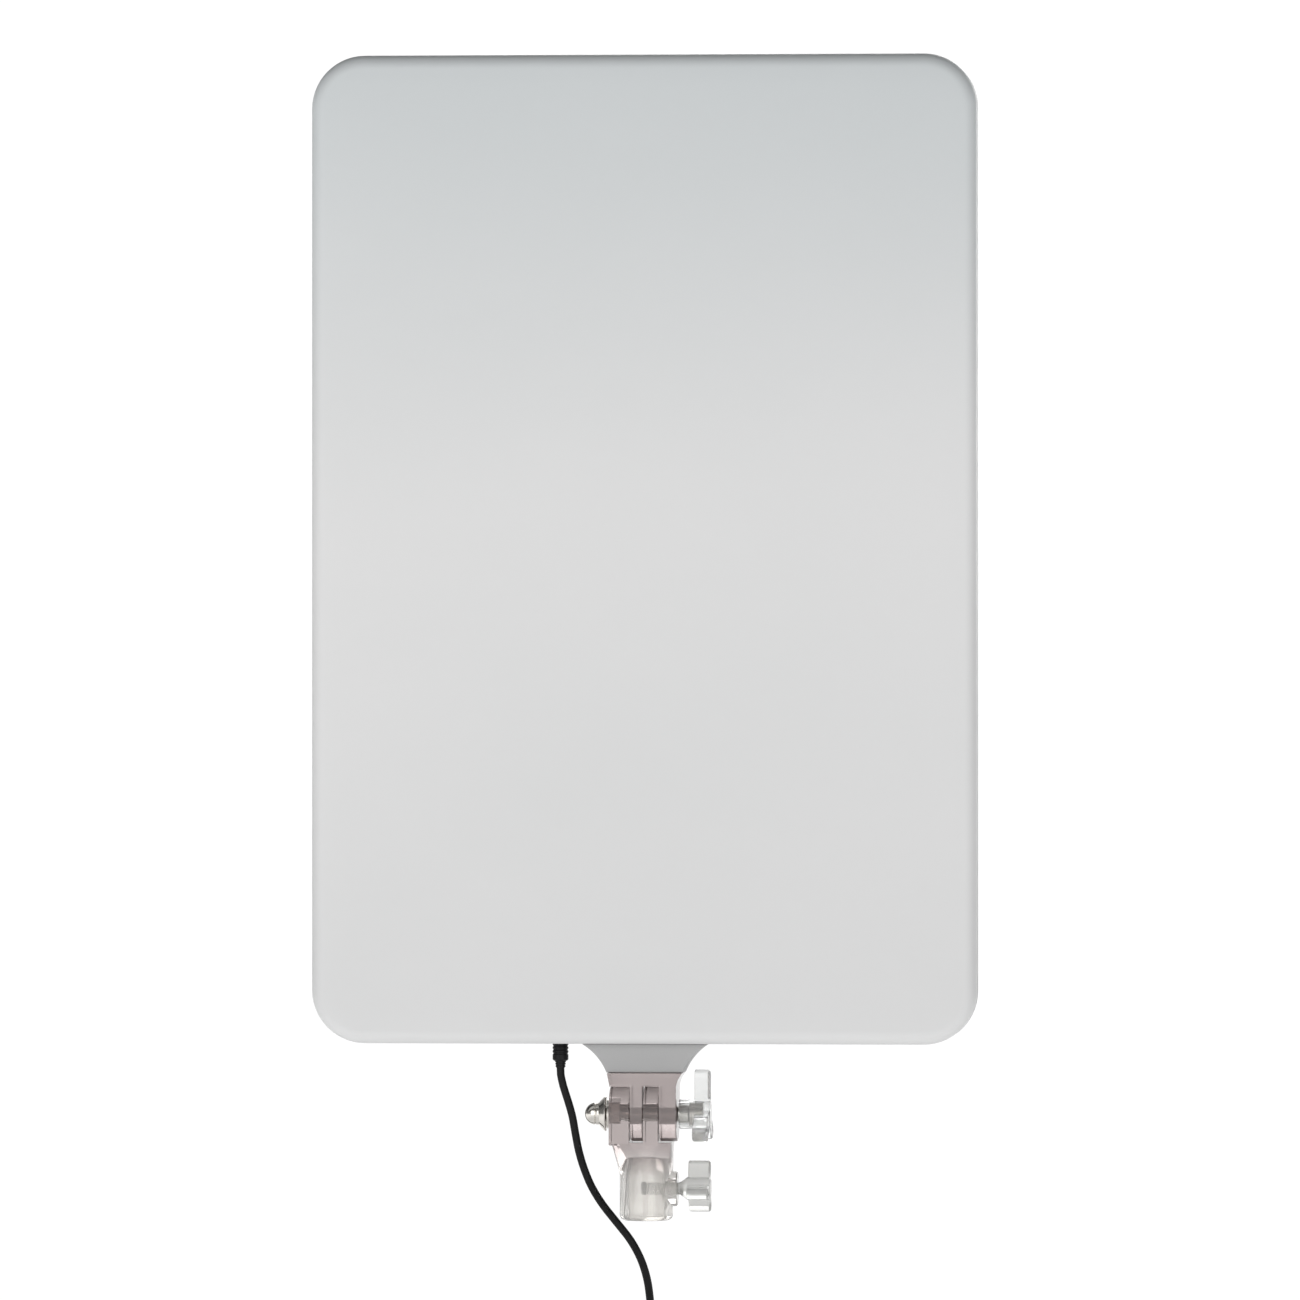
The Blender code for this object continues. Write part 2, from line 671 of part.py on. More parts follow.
def front_diffuser():
    back = SPLIT_Y - GAP / 2
    shell = panel_block(
        "front_diffuser", PANEL_FRONT_Y, back, 0.0, PANEL_CORNER_RADIUS,
        rims=[(PANEL_FRONT_Y, FRONT_EDGE_RADIUS)],
    )
    cut(shell, panel_block(
        "diffuser_hollow", INNER_FRONT_Y, back + OVERSHOOT, SHELL_WALL,
        PANEL_CORNER_RADIUS - SHELL_WALL,
        rims=[(INNER_FRONT_Y, FRONT_EDGE_RADIUS - SHELL_WALL)],
    ))
    for x, z in post_places():
        start = (x, INNER_FRONT_Y - SINK, z)
        fuse(shell, rod("screw_post", POST_RADIUS, start, back - start[1], "Y", SMALL_STEPS))
        hole = (x, INNER_FRONT_Y + SHELL_WALL, z)
        cut(shell, rod(
            "post_hole", SCREW_HOLE_RADIUS, hole, back + OVERSHOOT - hole[1], "Y", SMALL_STEPS
        ))
    as_part(shell, opal)


def vent_places():
    """Centres of the vent slots near the panel's top."""
    return [
        (side * VENT_GROUP_X, PANEL_TOP_Z - VENT_TOP_INSET - i * VENT_PITCH)
        for i in range(VENTS_PER_GROUP) for side in (-1, 1)
    ]


def rear_cover():
    front = SPLIT_Y + GAP / 2
    shell = panel_block(
        "rear_cover", front, PANEL_BACK_Y, 0.0, PANEL_CORNER_RADIUS,
        rims=[(PANEL_BACK_Y, BACK_EDGE_RADIUS)],
    )
    cut(shell, panel_block(
        "cover_hollow", front - OVERSHOOT, INNER_BACK_Y, SHELL_WALL,
        PANEL_CORNER_RADIUS - SHELL_WALL,
    ))
    for x, z in post_places():
        start = (x, front, z)
        fuse(shell, rod("cover_boss", BOSS_RADIUS - GAP, start, INNER_BACK_Y + SINK - front,
                        "Y", SMALL_STEPS))
        seat = PANEL_BACK_Y - SCREW_HEAD_HEIGHT - 2 * GAP
        cut(shell, screw_hole("cover_hole", x, z, front, seat, PANEL_BACK_Y))
    for x, z in housing_post_places():
        start = (x, TRAY_BACK_Y + GAP, z)
        fuse(shell, rod("nut_boss", HOUSING_POST_RADIUS, start,
                        INNER_BACK_Y + SINK - start[1], "Y", SMALL_STEPS))
        cut(shell, rod("nut_hole", SCREW_HOLE_RADIUS, (x, start[1] - OVERSHOOT, z),
                       PANEL_BACK_Y + 2 * OVERSHOOT - start[1], "Y", SMALL_STEPS))
    for x, z in vent_places():
        low = (x - VENT_LENGTH / 2, INNER_BACK_Y - OVERSHOOT, z - VENT_WIDTH / 2)
        high = (x + VENT_LENGTH / 2, PANEL_BACK_Y + OVERSHOOT, z + VENT_WIDTH / 2)
        cut(shell, rounded_block("vent_slot", low, high, VENT_END_RADIUS, steps=2))
    low = (-WINDOW_WIDTH / 2, INNER_BACK_Y - OVERSHOOT, WINDOW_Z - WINDOW_HEIGHT / 2)
    high = (WINDOW_WIDTH / 2, PANEL_BACK_Y + OVERSHOOT, WINDOW_Z + WINDOW_HEIGHT / 2)
    cut(shell, block("cable_window", low, high))
    as_part(shell, opal)


# ---------------------------------------------------------------- light engine
def reflector_tray():
    low = (-TRAY_HALF_WIDTH, TRAY_BACK_Y - TRAY_DEPTH, PANEL_BOTTOM_Z + TRAY_END_INSET)
    high = (TRAY_HALF_WIDTH, TRAY_BACK_Y, PANEL_TOP_Z - TRAY_END_INSET)
    tray = rounded_block("reflector_tray", low, high, TRAY_CORNER_RADIUS)
    inner_low = (low[0] + TRAY_WALL, low[1] - OVERSHOOT, low[2] + TRAY_WALL)
    inner_high = (high[0] - TRAY_WALL, TRAY_FLOOR_Y, high[2] - TRAY_WALL)
    cut(tray, rounded_block(
        "tray_hollow", inner_low, inner_high, TRAY_CORNER_RADIUS - TRAY_WALL
    ))
    low = (-WINDOW_WIDTH / 2, TRAY_FLOOR_Y - OVERSHOOT, WINDOW_Z - WINDOW_HEIGHT / 2)
    high = (WINDOW_WIDTH / 2, TRAY_BACK_Y + OVERSHOOT, WINDOW_Z + WINDOW_HEIGHT / 2)
    cut(tray, block("tray_window", low, high))
    as_part(tray, white_sheet)


def strip_places():
    """X of each LED strip."""
    return [(i - (STRIP_COUNT - 1) / 2) * STRIP_PITCH for i in range(STRIP_COUNT)]


def led_strip(name, x):
    bottom = PANEL_BOTTOM_Z + STRIP_END_INSET
    top = PANEL_TOP_Z - STRIP_END_INSET
    strip = block(
        name, (x - STRIP_WIDTH / 2, STRIP_FRONT_Y, bottom),
        (x + STRIP_WIDTH / 2, STRIP_BACK_Y, top),
    )
    first = bottom + LED_FIRST_INSET
    pitch = (top - LED_LAST_INSET - first) / (LED_COUNT - 1)
    half = LED_SIZE / 2
    for i in range(LED_COUNT):
        z = first + i * pitch
        fuse(strip, block(
            "led_package", (x - half, STRIP_FRONT_Y - LED_HEIGHT, z - half),
            (x + half, STRIP_FRONT_Y + SINK, z + half),
        ))
    as_part(strip, white_sheet)


def led_strips():
    for number, x in enumerate(strip_places(), 1):
        led_strip(f"led_strip_{number}", x)


def led_wires():
    """Two wires from the board through the window to the two middle strips."""
    front = STRIP_FRONT_Y - GAP - WIRE_RADIUS
    board_front = BOARD_BACK_Y - BOARD_THICKNESS - GAP - WIRE_RADIUS
    for name, side in (("led_wire_plus", 1), ("led_wire_minus", -1)):
        near = side * WIRE_SPACING / 2
        far = side * (STRIP_PITCH / 2 - STRIP_WIDTH / 4)
        route = [
            (near, board_front, WINDOW_Z + 0.012),
            (near, board_front - 0.0004, WINDOW_Z + 0.007),
            (near, board_front - 0.0022, WINDOW_Z + 0.003),
            (near, INNER_BACK_Y - 0.0010, WINDOW_Z),
            (near, TRAY_FLOOR_Y - 0.0008, WINDOW_Z),
            (near + side * 0.0030, front, WINDOW_Z - 0.001),
            (far - side * 0.0030, front, WINDOW_Z - 0.002),
            (far, front, WINDOW_Z - 0.002),
        ]
        as_wire(tube(name, smooth_points(route, 0.0020), WIRE_RADIUS, 1), black_plastic)


# ---------------------------------------------------------------- housing and neck
def housing_half_outline():
    """The right half of the housing and neck from the neck's foot to the top."""
    flare = math.degrees(NECK_FLARE_ANGLE)
    fillet_centre = (NECK_HALF_WIDTH + NECK_FILLET, NECK_BOTTOM_Z)
    fillet = arc(fillet_centre, NECK_FILLET, 180, 180 - flare, 5)
    last_x, last_z = fillet[-1]
    rise = HOUSING_BOTTOM_Z - FLARE_END_RADIUS - last_z
    end_x = last_x + (FLARE_END_RADIUS + rise * math.sin(NECK_FLARE_ANGLE)) / math.cos(
        NECK_FLARE_ANGLE
    )
    end_centre = (end_x, HOUSING_BOTTOM_Z - FLARE_END_RADIUS)
    flare_end = arc(end_centre, FLARE_END_RADIUS, 180 - flare, 90, 4)
    half = HOUSING_WIDTH / 2
    foot_centre = (half - HOUSING_FOOT_RADIUS, HOUSING_BOTTOM_Z + HOUSING_FOOT_RADIUS)
    top_centre = (half - HOUSING_TOP_RADIUS, HOUSING_TOP_Z - HOUSING_TOP_RADIUS)
    foot = arc(foot_centre, HOUSING_FOOT_RADIUS, -90, 0, 5)
    head = arc(top_centre, HOUSING_TOP_RADIUS, 0, 90, 6)
    return fillet + flare_end + foot + head


def housing_post_places():
    return [(side * HOUSING_POST_X, z) for z in HOUSING_POST_ZS for side in (-1, 1)]


def tenon_screw_places():
    z = NECK_BOTTOM_Z + TENON_LENGTH / 2
    return [(-TENON_SCREW_X, z), (TENON_SCREW_X, z)]


def control_housing():
    right = housing_half_outline()
    left = [(-x, z) for x, z in reversed(right)]
    half_thickness = (HOUSING_BACK_Y - SPLIT_Y) / 2
    housing = plate(
        "control_housing", right + left, SPLIT_Y, HOUSING_BACK_Y, FACING_Y,
        rims=[(-half_thickness, HOUSING_EDGE_RADIUS)],
    )
    half = HOUSING_WIDTH / 2
    cut(housing, block(
        "panel_room", (-half - OVERSHOOT, SPLIT_Y - OVERSHOOT, PANEL_BOTTOM_Z - GAP),
        (half + OVERSHOOT, HOUSING_FRONT_Y, HOUSING_TOP_Z + OVERSHOOT),
    ))
    inner = half - HOUSING_WALL
    cut(housing, rounded_block(
        "housing_hollow", (-inner, HOUSING_FRONT_Y - OVERSHOOT, HOUSING_INNER_BOTTOM_Z),
        (inner, HOUSING_INNER_BACK_Y, HOUSING_TOP_Z - HOUSING_WALL),
        HOUSING_FOOT_RADIUS - HOUSING_WALL,
    ))
    for x, z in housing_post_places():
        start = (x, HOUSING_FRONT_Y, z)
        fuse(housing, rod("housing_post", HOUSING_POST_RADIUS, start,
                          HOUSING_INNER_BACK_Y + SINK - HOUSING_FRONT_Y, "Y", SMALL_STEPS))
        cut(housing, screw_hole(
            "housing_hole", x, z, HOUSING_FRONT_Y, WELL_FLOOR_Y, HOUSING_BACK_Y
        ))
    for x in BUTTONS.values():
        cut(housing, rod("button_hole", BUTTON_RADIUS + GAP,
                         (x, HOUSING_INNER_BACK_Y - OVERSHOOT, BUTTON_Z),
                         HOUSING_WALL + 2 * OVERSHOOT, "Y", HOLE_STEPS))
    cut(housing, rod("lens_hole", LENS_RADIUS + GAP,
                     (0, HOUSING_INNER_BACK_Y - OVERSHOOT, BUTTON_Z),
                     HOUSING_WALL + 2 * OVERSHOOT, "Y", SMALL_STEPS))
    cut(housing, bezel_block("bezel_recess", BEZEL_FLOOR_Y, HOUSING_BACK_Y + OVERSHOOT, GAP))
    cut(housing, rod("jack_hole", BARREL_RADIUS + 2 * GAP,
                     (PLUG_X, PLUG_Y, HOUSING_BOTTOM_Z - OVERSHOOT),
                     HOUSING_WALL + 2 * OVERSHOOT, "Z", HOLE_STEPS))
    low = (-TENON_HALF_WIDTH - GAP, -TENON_HALF_DEPTH - GAP, NECK_BOTTOM_Z - OVERSHOOT)
    high = (TENON_HALF_WIDTH + GAP, TENON_HALF_DEPTH + GAP, NECK_BOTTOM_Z + TENON_LENGTH + GAP)
    cut(housing, block("tenon_pocket", low, high))
    for x, z in tenon_screw_places():
        seat = HOUSING_BACK_Y - SCREW_HEAD_HEIGHT - 2 * GAP
        cut(housing, screw_hole("tenon_screw_hole", x, z, OVERSHOOT, seat, HOUSING_BACK_Y))
    as_part(housing, grey_plastic)


# ---------------------------------------------------------------- controls
def bezel_block(name, front, back, grow):
    """The bezel's outline with a thickness, grown by a clearance."""
    low = (-BEZEL_HALF_WIDTH - grow, front, BUTTON_Z - BEZEL_HEIGHT / 2 - grow)
    high = (BEZEL_HALF_WIDTH + grow, back, BUTTON_Z + BEZEL_HEIGHT / 2 + grow)
    return rounded_block(name, low, high, BEZEL_CORNER_RADIUS + grow, steps=4)


def control_bezel():
    bezel = bezel_block("control_bezel", BEZEL_FLOOR_Y + GAP, BEZEL_BACK_Y, 0.0)
    for x in BUTTONS.values():
        cut(bezel, rod("bezel_button_hole", BUTTON_RADIUS + GAP,
                       (x, BEZEL_FLOOR_Y - OVERSHOOT, BUTTON_Z), 4 * OVERSHOOT, "Y",
                       HOLE_STEPS))
    cut(bezel, rod("bezel_lens_hole", LENS_RADIUS + GAP,
                   (0, BEZEL_FLOOR_Y - OVERSHOOT, BUTTON_Z), 4 * OVERSHOOT, "Y", SMALL_STEPS))
    as_part(bezel, black_plastic)


def buttons():
    """Round caps with a flange behind the wall and a stem over each switch."""
    top = BEZEL_BACK_Y + BUTTON_PROUD
    flange = BUTTON_RADIUS + BUTTON_FLANGE_RIM
    for name, x in BUTTONS.items():
        profile = [
            (0.0, top),
            (BUTTON_RADIUS - BUTTON_CROWN, top),
            (BUTTON_RADIUS, top - BUTTON_CROWN),
            (BUTTON_RADIUS, BUTTON_FLANGE_TOP_Y),
            (flange, BUTTON_FLANGE_TOP_Y),
            (flange, BUTTON_FLANGE_TOP_Y - BUTTON_FLANGE),
            (BUTTON_STEM_RADIUS, BUTTON_FLANGE_TOP_Y - BUTTON_FLANGE),
            (BUTTON_STEM_RADIUS, BUTTON_TIP_Y),
            (0.0, BUTTON_TIP_Y),
        ]
        as_part(turned(name, profile, (x, 0, BUTTON_Z), "Y", HOLE_STEPS), grey_plastic)


def indicator_lens():
    top = BEZEL_BACK_Y + LENS_PROUD
    flange_top = HOUSING_INNER_BACK_Y - GAP
    flange = LENS_RADIUS + LENS_FLANGE_RIM
    profile = [
        (0.0, top),
        (LENS_RADIUS - LENS_CROWN, top),
        (LENS_RADIUS, top - LENS_CROWN),
        (LENS_RADIUS, flange_top),
        (flange, flange_top),
        (flange, flange_top - LENS_FLANGE),
        (0.0, flange_top - LENS_FLANGE),
    ]
    as_part(turned("indicator_lens", profile, (0, 0, BUTTON_Z), "Y", SMALL_STEPS), clear_plastic)


def control_board():
    top = BUTTON_Z + BOARD_ABOVE_BUTTONS
    bottom = top - BOARD_HEIGHT
    low = (-BOARD_HALF_WIDTH, BOARD_BACK_Y - BOARD_THICKNESS, bottom)
    high = (BOARD_HALF_WIDTH, BOARD_BACK_Y, top)
    board = block("control_board", low, high)
    half = SWITCH_SIZE / 2
    for x in BUTTONS.values():
        fuse(board, block("switch", (x - half, BOARD_BACK_Y - SINK, BUTTON_Z - half),
                          (x + half, SWITCH_TOP_Y, BUTTON_Z + half)))
    chip_z = bottom + CHIP_SIZE * 0.8
    half = CHIP_SIZE / 2
    fuse(board, block("driver_chip", (CHIP_X - half, BOARD_BACK_Y - SINK, chip_z - half),
                      (CHIP_X + half, BOARD_BACK_Y + CHIP_HEIGHT, chip_z + half)))
    fuse(board, rod("capacitor", CAPACITOR_RADIUS, (CAPACITOR_X, BOARD_BACK_Y - SINK, chip_z),
                    HOUSING_INNER_BACK_Y - CAPACITOR_ROOM - BOARD_BACK_Y, "Y", SMALL_STEPS))
    as_part(board, board_green)


def dc_jack():
    """Power inlet: a block with a round socket and a centre pin."""
    bottom = HOUSING_INNER_BOTTOM_Z + GAP
    half = JACK_WIDTH / 2
    jack = block("dc_jack", (PLUG_X - half, PLUG_Y - half, bottom),
                 (PLUG_X + half, PLUG_Y + half, bottom + JACK_LENGTH))
    floor = PLUG_TOP_Z + GAP + BARREL_LENGTH + 2 * GAP
    cut(jack, rod("jack_bore", BARREL_RADIUS + GAP, (PLUG_X, PLUG_Y, bottom - OVERSHOOT),
                  floor - bottom + OVERSHOOT, "Z", HOLE_STEPS))
    fuse(jack, rod("jack_pin", JACK_PIN_RADIUS, (PLUG_X, PLUG_Y, bottom),
                   floor + SINK - bottom, "Z", SMALL_STEPS))
    as_part(jack, black_plastic)


# ---------------------------------------------------------------- screws
def screw(name, x, z, seat_y, length):
    """A pan-head screw along Y: seat_y is the face that its head sits on."""
    head = seat_y + SCREW_HEAD_HEIGHT
    profile = [
        (0.0, head),
        (SCREW_CROWN_RADIUS, head),
        (SCREW_HEAD_RADIUS, head - SCREW_CROWN),
        (SCREW_HEAD_RADIUS, seat_y),
        (SCREW_RADIUS, seat_y),
        (SCREW_RADIUS, seat_y - length + SCREW_POINT),
        (0.0, seat_y - length),
    ]
    item = turned(name, profile, (x, 0, z), "Y", SMALL_STEPS)
    wide = SCREW_CROSS_LENGTH / 2
    thin = SCREW_CROSS_WIDTH / 2
    low_y = head - SCREW_CROSS_DEPTH
    high_y = head + OVERSHOOT
    across = block("cross_slot", (x - wide, low_y, z - thin), (x + wide, high_y, z + thin))
    upright = block("cross_slot", (x - thin, low_y, z - wide), (x + thin, high_y, z + wide))
    cut(item, across, upright)
    as_part(item, bright_metal)


def screws():
    cover_seat = PANEL_BACK_Y - SCREW_HEAD_HEIGHT - GAP
    cover_length = cover_seat - INNER_FRONT_Y - SHELL_WALL - COVER_SCREW_TIP_ROOM
    for number, (x, z) in enumerate(post_places(), 1):
        screw(f"cover_screw_{number}", x, z, cover_seat, cover_length)
    for number, (x, z) in enumerate(housing_post_places(), 1):
        screw(f"housing_screw_{number}", x, z, WELL_FLOOR_Y + GAP, HOUSING_SCREW_LENGTH)
    knuckle_seat = HOUSING_BACK_Y - SCREW_HEAD_HEIGHT - GAP
    knuckle_length = knuckle_seat + TENON_HALF_DEPTH - TENON_SCREW_TIP_INSET
    for number, (x, z) in enumerate(tenon_screw_places(), 1):
        screw(f"knuckle_screw_{number}", x, z, knuckle_seat, knuckle_length)


# ---------------------------------------------------------------- clear knuckle
def finger(name, span, far_z):
    """A finger round the tilt axis, running straight up or down to far_z."""
    up = far_z > TILT_Z
    start, end = (180, 360) if up else (0, 180)
    outline = arc((0.0, TILT_Z), KNUCKLE_RADIUS, start, end, 14)
    outline += [(outline[-1][0], far_z), (outline[0][0], far_z)]
    return plate(name, outline, span[0], span[1], FACING_X)


def bolt_hole(span):
    return rod("bolt_hole", BOLT_HOLE_RADIUS, (span[0] - OVERSHOOT, 0, TILT_Z),
               span[1] - span[0] + 2 * OVERSHOOT, "X", METAL_STEPS)


def upper_knuckle():
    low_left = FINGER_A1[0] + WEB_LEFT_STEP
    low_right = FINGER_B2[1]
    top_left = -NECK_HALF_WIDTH + GAP
    top_right = low_right + WEB_SPREAD + 2 * GAP
    outline = [
        (low_left, WEB_BOTTOM_Z),
        (low_right, WEB_BOTTOM_Z),
        (low_right + WEB_SPREAD_HALFWAY, (WEB_BOTTOM_Z + WEB_TOP_Z) / 2),
        (top_right, WEB_TOP_Z),
        (top_left, WEB_TOP_Z),
    ]
    knuckle = plate("upper_knuckle", outline, -KNUCKLE_RADIUS, KNUCKLE_RADIUS, FACING_Y)
    for span in (FINGER_B1, FINGER_B2):
        fuse(knuckle, finger("upper_finger", span, WEB_BOTTOM_Z + FINGER_ROOT))
    fuse(knuckle, block(
        "tenon", (-TENON_HALF_WIDTH, -TENON_HALF_DEPTH, WEB_TOP_Z - SINK),
        (TENON_HALF_WIDTH, TENON_HALF_DEPTH, NECK_BOTTOM_Z + TENON_LENGTH),
    ))
    for span in (FINGER_B1, FINGER_B2):
        cut(knuckle, bolt_hole(span))
    for x, z in tenon_screw_places():
        cut(knuckle, rod("tenon_hole", SCREW_HOLE_RADIUS, (x, -TENON_HALF_DEPTH - OVERSHOOT, z),
                         2 * TENON_HALF_DEPTH + 2 * OVERSHOOT, "Y", SMALL_STEPS))
    as_part(knuckle, clear_plastic)


def round_section(radius, z):
    """A ring of points round the socket's axis."""
    return [(x, y, z) for x, y in arc((0.0, 0.0), radius, 0, 360, ROUND_STEPS)[:-1]]


def square_section(left, right, half_depth, z):
    """A ring of as many points round a square with soft corners."""
    ring = []
    for x, y in arc((0.0, 0.0), 1.0, 0, 360, ROUND_STEPS)[:-1]:
        side = right if x > 0 else -left
        ring.append((
            math.copysign(abs(x) ** SHOULDER_SOFTNESS, x) * side,
            math.copysign(abs(y) ** SHOULDER_SOFTNESS, y) * half_depth,
            z,
        ))
    return ring


def loft(name, sections):
    """A closed body through rings that have the same number of points."""
    build = bmesh.new()
    rings = [[build.verts.new(point) for point in section] for section in sections]
    count = len(rings[0])
    for lower, upper in zip(rings, rings[1:]):
        for i in range(count):
            after = (i + 1) % count
            build.faces.new((lower[i], lower[after], upper[after], upper[i]))
    build.faces.new(rings[0])
    build.faces.new(rings[-1])
    return mesh_from(build, name)


def socket_body():
    """The round socket, widening to the square shoulder under the fingers."""
    foot = SOCKET_FOOT_RADIUS
    rounding = arc((SOCKET_RADIUS - foot, foot), foot, -90, 0, 4)
    sections = [round_section(radius, z) for radius, z in rounding]
    sections.append(round_section(SOCKET_RADIUS, SOCKET_TAPER_Z))
    sections.append(square_section(
        SHOULDER_LEFT_X, SHOULDER_RIGHT_X, KNUCKLE_RADIUS - GAP, SHOULDER_Z
    ))
    return loft("stand_bracket", sections)


def stand_bracket():
    bracket = socket_body()
    for span in (FINGER_A1, FINGER_A2):
        fuse(bracket, finger("lower_finger", span, SHOULDER_Z - FINGER_ROOT))
    boss_x = SOCKET_BORE_RADIUS + CLAMP_BOSS_START
    fuse(bracket, rod("clamp_boss", CLAMP_BOSS_RADIUS, (boss_x, 0, CLAMP_Z),
                      CLAMP_BOSS_END_X - boss_x, "X"))
    for span in (FINGER_A1, FINGER_A2):
        cut(bracket, bolt_hole(span))
    half = BOLT_SQUARE / 2 + GAP
    cut(bracket, block(
        "square_pocket", (FINGER_A1[0] - OVERSHOOT, -half, TILT_Z - half),
        (FINGER_A1[0] + BOLT_SQUARE_LENGTH + 2 * GAP, half, TILT_Z + half),
    ))
    cut(bracket, rod("socket_bore", SOCKET_BORE_RADIUS, (0, 0, -OVERSHOOT),
                     SOCKET_DEPTH + OVERSHOOT, "Z"))
    cut(bracket, rod("clamp_hole", CLAMP_SCREW_RADIUS + GAP,
                     (SOCKET_BORE_RADIUS / 2, 0, CLAMP_Z), CLAMP_BOSS_END_X, "X", METAL_STEPS))
    as_part(bracket, clear_plastic)


# ---------------------------------------------------------------- tilt bolt, nut and knob
def tilt_bolt():
    start = NUT_TIP_X + NUT_END_WALL + GAP
    end = FERRULE_X + FERRULE_LENGTH - GAP
    bolt = rod("tilt_bolt", BOLT_RADIUS, (start, 0, TILT_Z), end - start, "X", METAL_STEPS)
    half = BOLT_SQUARE / 2
    low_x = FINGER_A1[0] + GAP
    fuse(bolt, block("square_neck", (low_x, -half, TILT_Z - half),
                     (low_x + BOLT_SQUARE_LENGTH, half, TILT_Z + half)))
    as_part(bolt, bright_metal)


def ring_profile(inner, outer, low, high):
    """A closed washer or sleeve section, down its outer side first."""
    return [(inner, high), (outer, high), (outer, low), (inner, low), (inner, high)]


def nut_washer():
    profile = ring_profile(BOLT_HOLE_RADIUS, WASHER_RADIUS, WASHER_X, WASHER_X + WASHER_THICKNESS)
    as_part(turned("nut_washer", profile, (0, 0, TILT_Z), "X", METAL_STEPS), bright_metal)


def acorn_nut():
    """A dome nut with a cone-shaped flange; its blind bore opens to +X."""
    flange_end = NUT_X - NUT_FLANGE_HEIGHT
    body_end = flange_end - NUT_BODY_HEIGHT
    floor = NUT_TIP_X + NUT_END_WALL
    dome = arc((0.0, body_end), NUT_DOME_RADIUS, 0, -90, 5)
    profile = [
        (0.0, floor),
        (BOLT_HOLE_RADIUS, floor),
        (BOLT_HOLE_RADIUS, NUT_X),
        (NUT_FLANGE_RADIUS, NUT_X),
        (NUT_FLANGE_RADIUS, NUT_X - NUT_FLANGE_EDGE),
        (NUT_DOME_RADIUS, flange_end),
    ]
    profile += dome[:-1] + [(0.0, NUT_TIP_X)]
    as_part(turned("acorn_nut", profile, (0, 0, TILT_Z), "X", METAL_STEPS), bright_metal)


def knob_metal():
    sleeve = ring_profile(BOLT_HOLE_RADIUS, SLEEVE_RADIUS, SLEEVE_X, SLEEVE_X + SLEEVE_LENGTH)
    as_part(turned("spacer_sleeve", sleeve, (0, 0, TILT_Z), "X", METAL_STEPS), bright_metal)
    ferrule = ring_profile(
        BOLT_HOLE_RADIUS, FERRULE_RADIUS, FERRULE_X, FERRULE_X + FERRULE_LENGTH
    )
    as_part(turned("knob_ferrule", ferrule, (0, 0, TILT_Z), "X", METAL_STEPS), bright_metal)


def star_outline(centre_z, length, half_width, arms, turn):
    """Arms with round ends about a centre, in (y, z); the first points up at turn 0."""
    points = []
    for i in range(arms):
        direction = math.degrees(turn) + 90 + 360 * i / arms
        valley = math.radians(direction - 180 / arms)
        reach = half_width / math.sin(math.pi / arms)
        points.append((reach * math.cos(valley), centre_z + reach * math.sin(valley)))
        way = math.radians(direction)
        middle = length - half_width
        tip = (middle * math.cos(way), centre_z + middle * math.sin(way))
        points += arc(tip, half_width, direction - 90, direction + 90, 6)
    return points


def star(name, z, length, half_width, turn, low, high):
    half = (high - low) / 2
    return plate(
        name, star_outline(z, length, half_width, KNOB_ARMS, turn), low, high, FACING_X,
        rims=[(-half, KNOB_EDGE_RADIUS), (half, KNOB_EDGE_RADIUS)],
    )


def tilt_wing_knob():
    knob = rod("tilt_wing_knob", KNOB_HUB_RADIUS, (KNOB_X, 0, TILT_Z), KNOB_END_X - KNOB_X, "X")
    arm_low = KNOB_END_X - KNOB_ARM_THICKNESS
    fuse(knob, star("knob_arms", TILT_Z, KNOB_ARM_LENGTH, KNOB_ARM_HALF_WIDTH, KNOB_TURN,
                    arm_low, KNOB_END_X - SINK))
    cut(knob, rod("sleeve_room", SLEEVE_RADIUS + GAP, (KNOB_X - OVERSHOOT, 0, TILT_Z),
                  FERRULE_X - KNOB_X + OVERSHOOT, "X", METAL_STEPS))
    cut(knob, rod("ferrule_room", FERRULE_RADIUS + GAP, (FERRULE_X - GAP, 0, TILT_Z),
                  FERRULE_LENGTH + 2 * GAP, "X", METAL_STEPS))
    as_part(knob, clear_plastic)


# ---------------------------------------------------------------- clamp screw
def clamp_wing_screw():
    """A moulded screw in one piece with its three-armed knob."""
    hub_end = CLAMP_KNOB_X + CLAMP_HUB_LENGTH
    collar = CLAMP_KNOB_X - CLAMP_COLLAR_LENGTH
    profile = [
        (0.0, hub_end),
        (CLAMP_HUB_RADIUS, hub_end),
        (CLAMP_HUB_RADIUS, CLAMP_KNOB_X),
        (CLAMP_SCREW_RADIUS, collar),
        (CLAMP_SCREW_RADIUS, CLAMP_TIP_X),
        (CLAMP_NOSE_RADIUS, CLAMP_TIP_X),
        (CLAMP_NOSE_RADIUS, CLAMP_TIP_X - CLAMP_NOSE_LENGTH),
        (0.0, CLAMP_TIP_X - CLAMP_NOSE_LENGTH),
    ]
    item = turned("clamp_wing_screw", profile, (0, 0, CLAMP_Z), "X", METAL_STEPS)
    arm_low = CLAMP_KNOB_X + SINK
    fuse(item, star("clamp_arms", CLAMP_Z, CLAMP_ARM_LENGTH, CLAMP_ARM_HALF_WIDTH, CLAMP_TURN,
                    arm_low, arm_low + CLAMP_ARM_THICKNESS))
    as_part(item, clear_plastic)


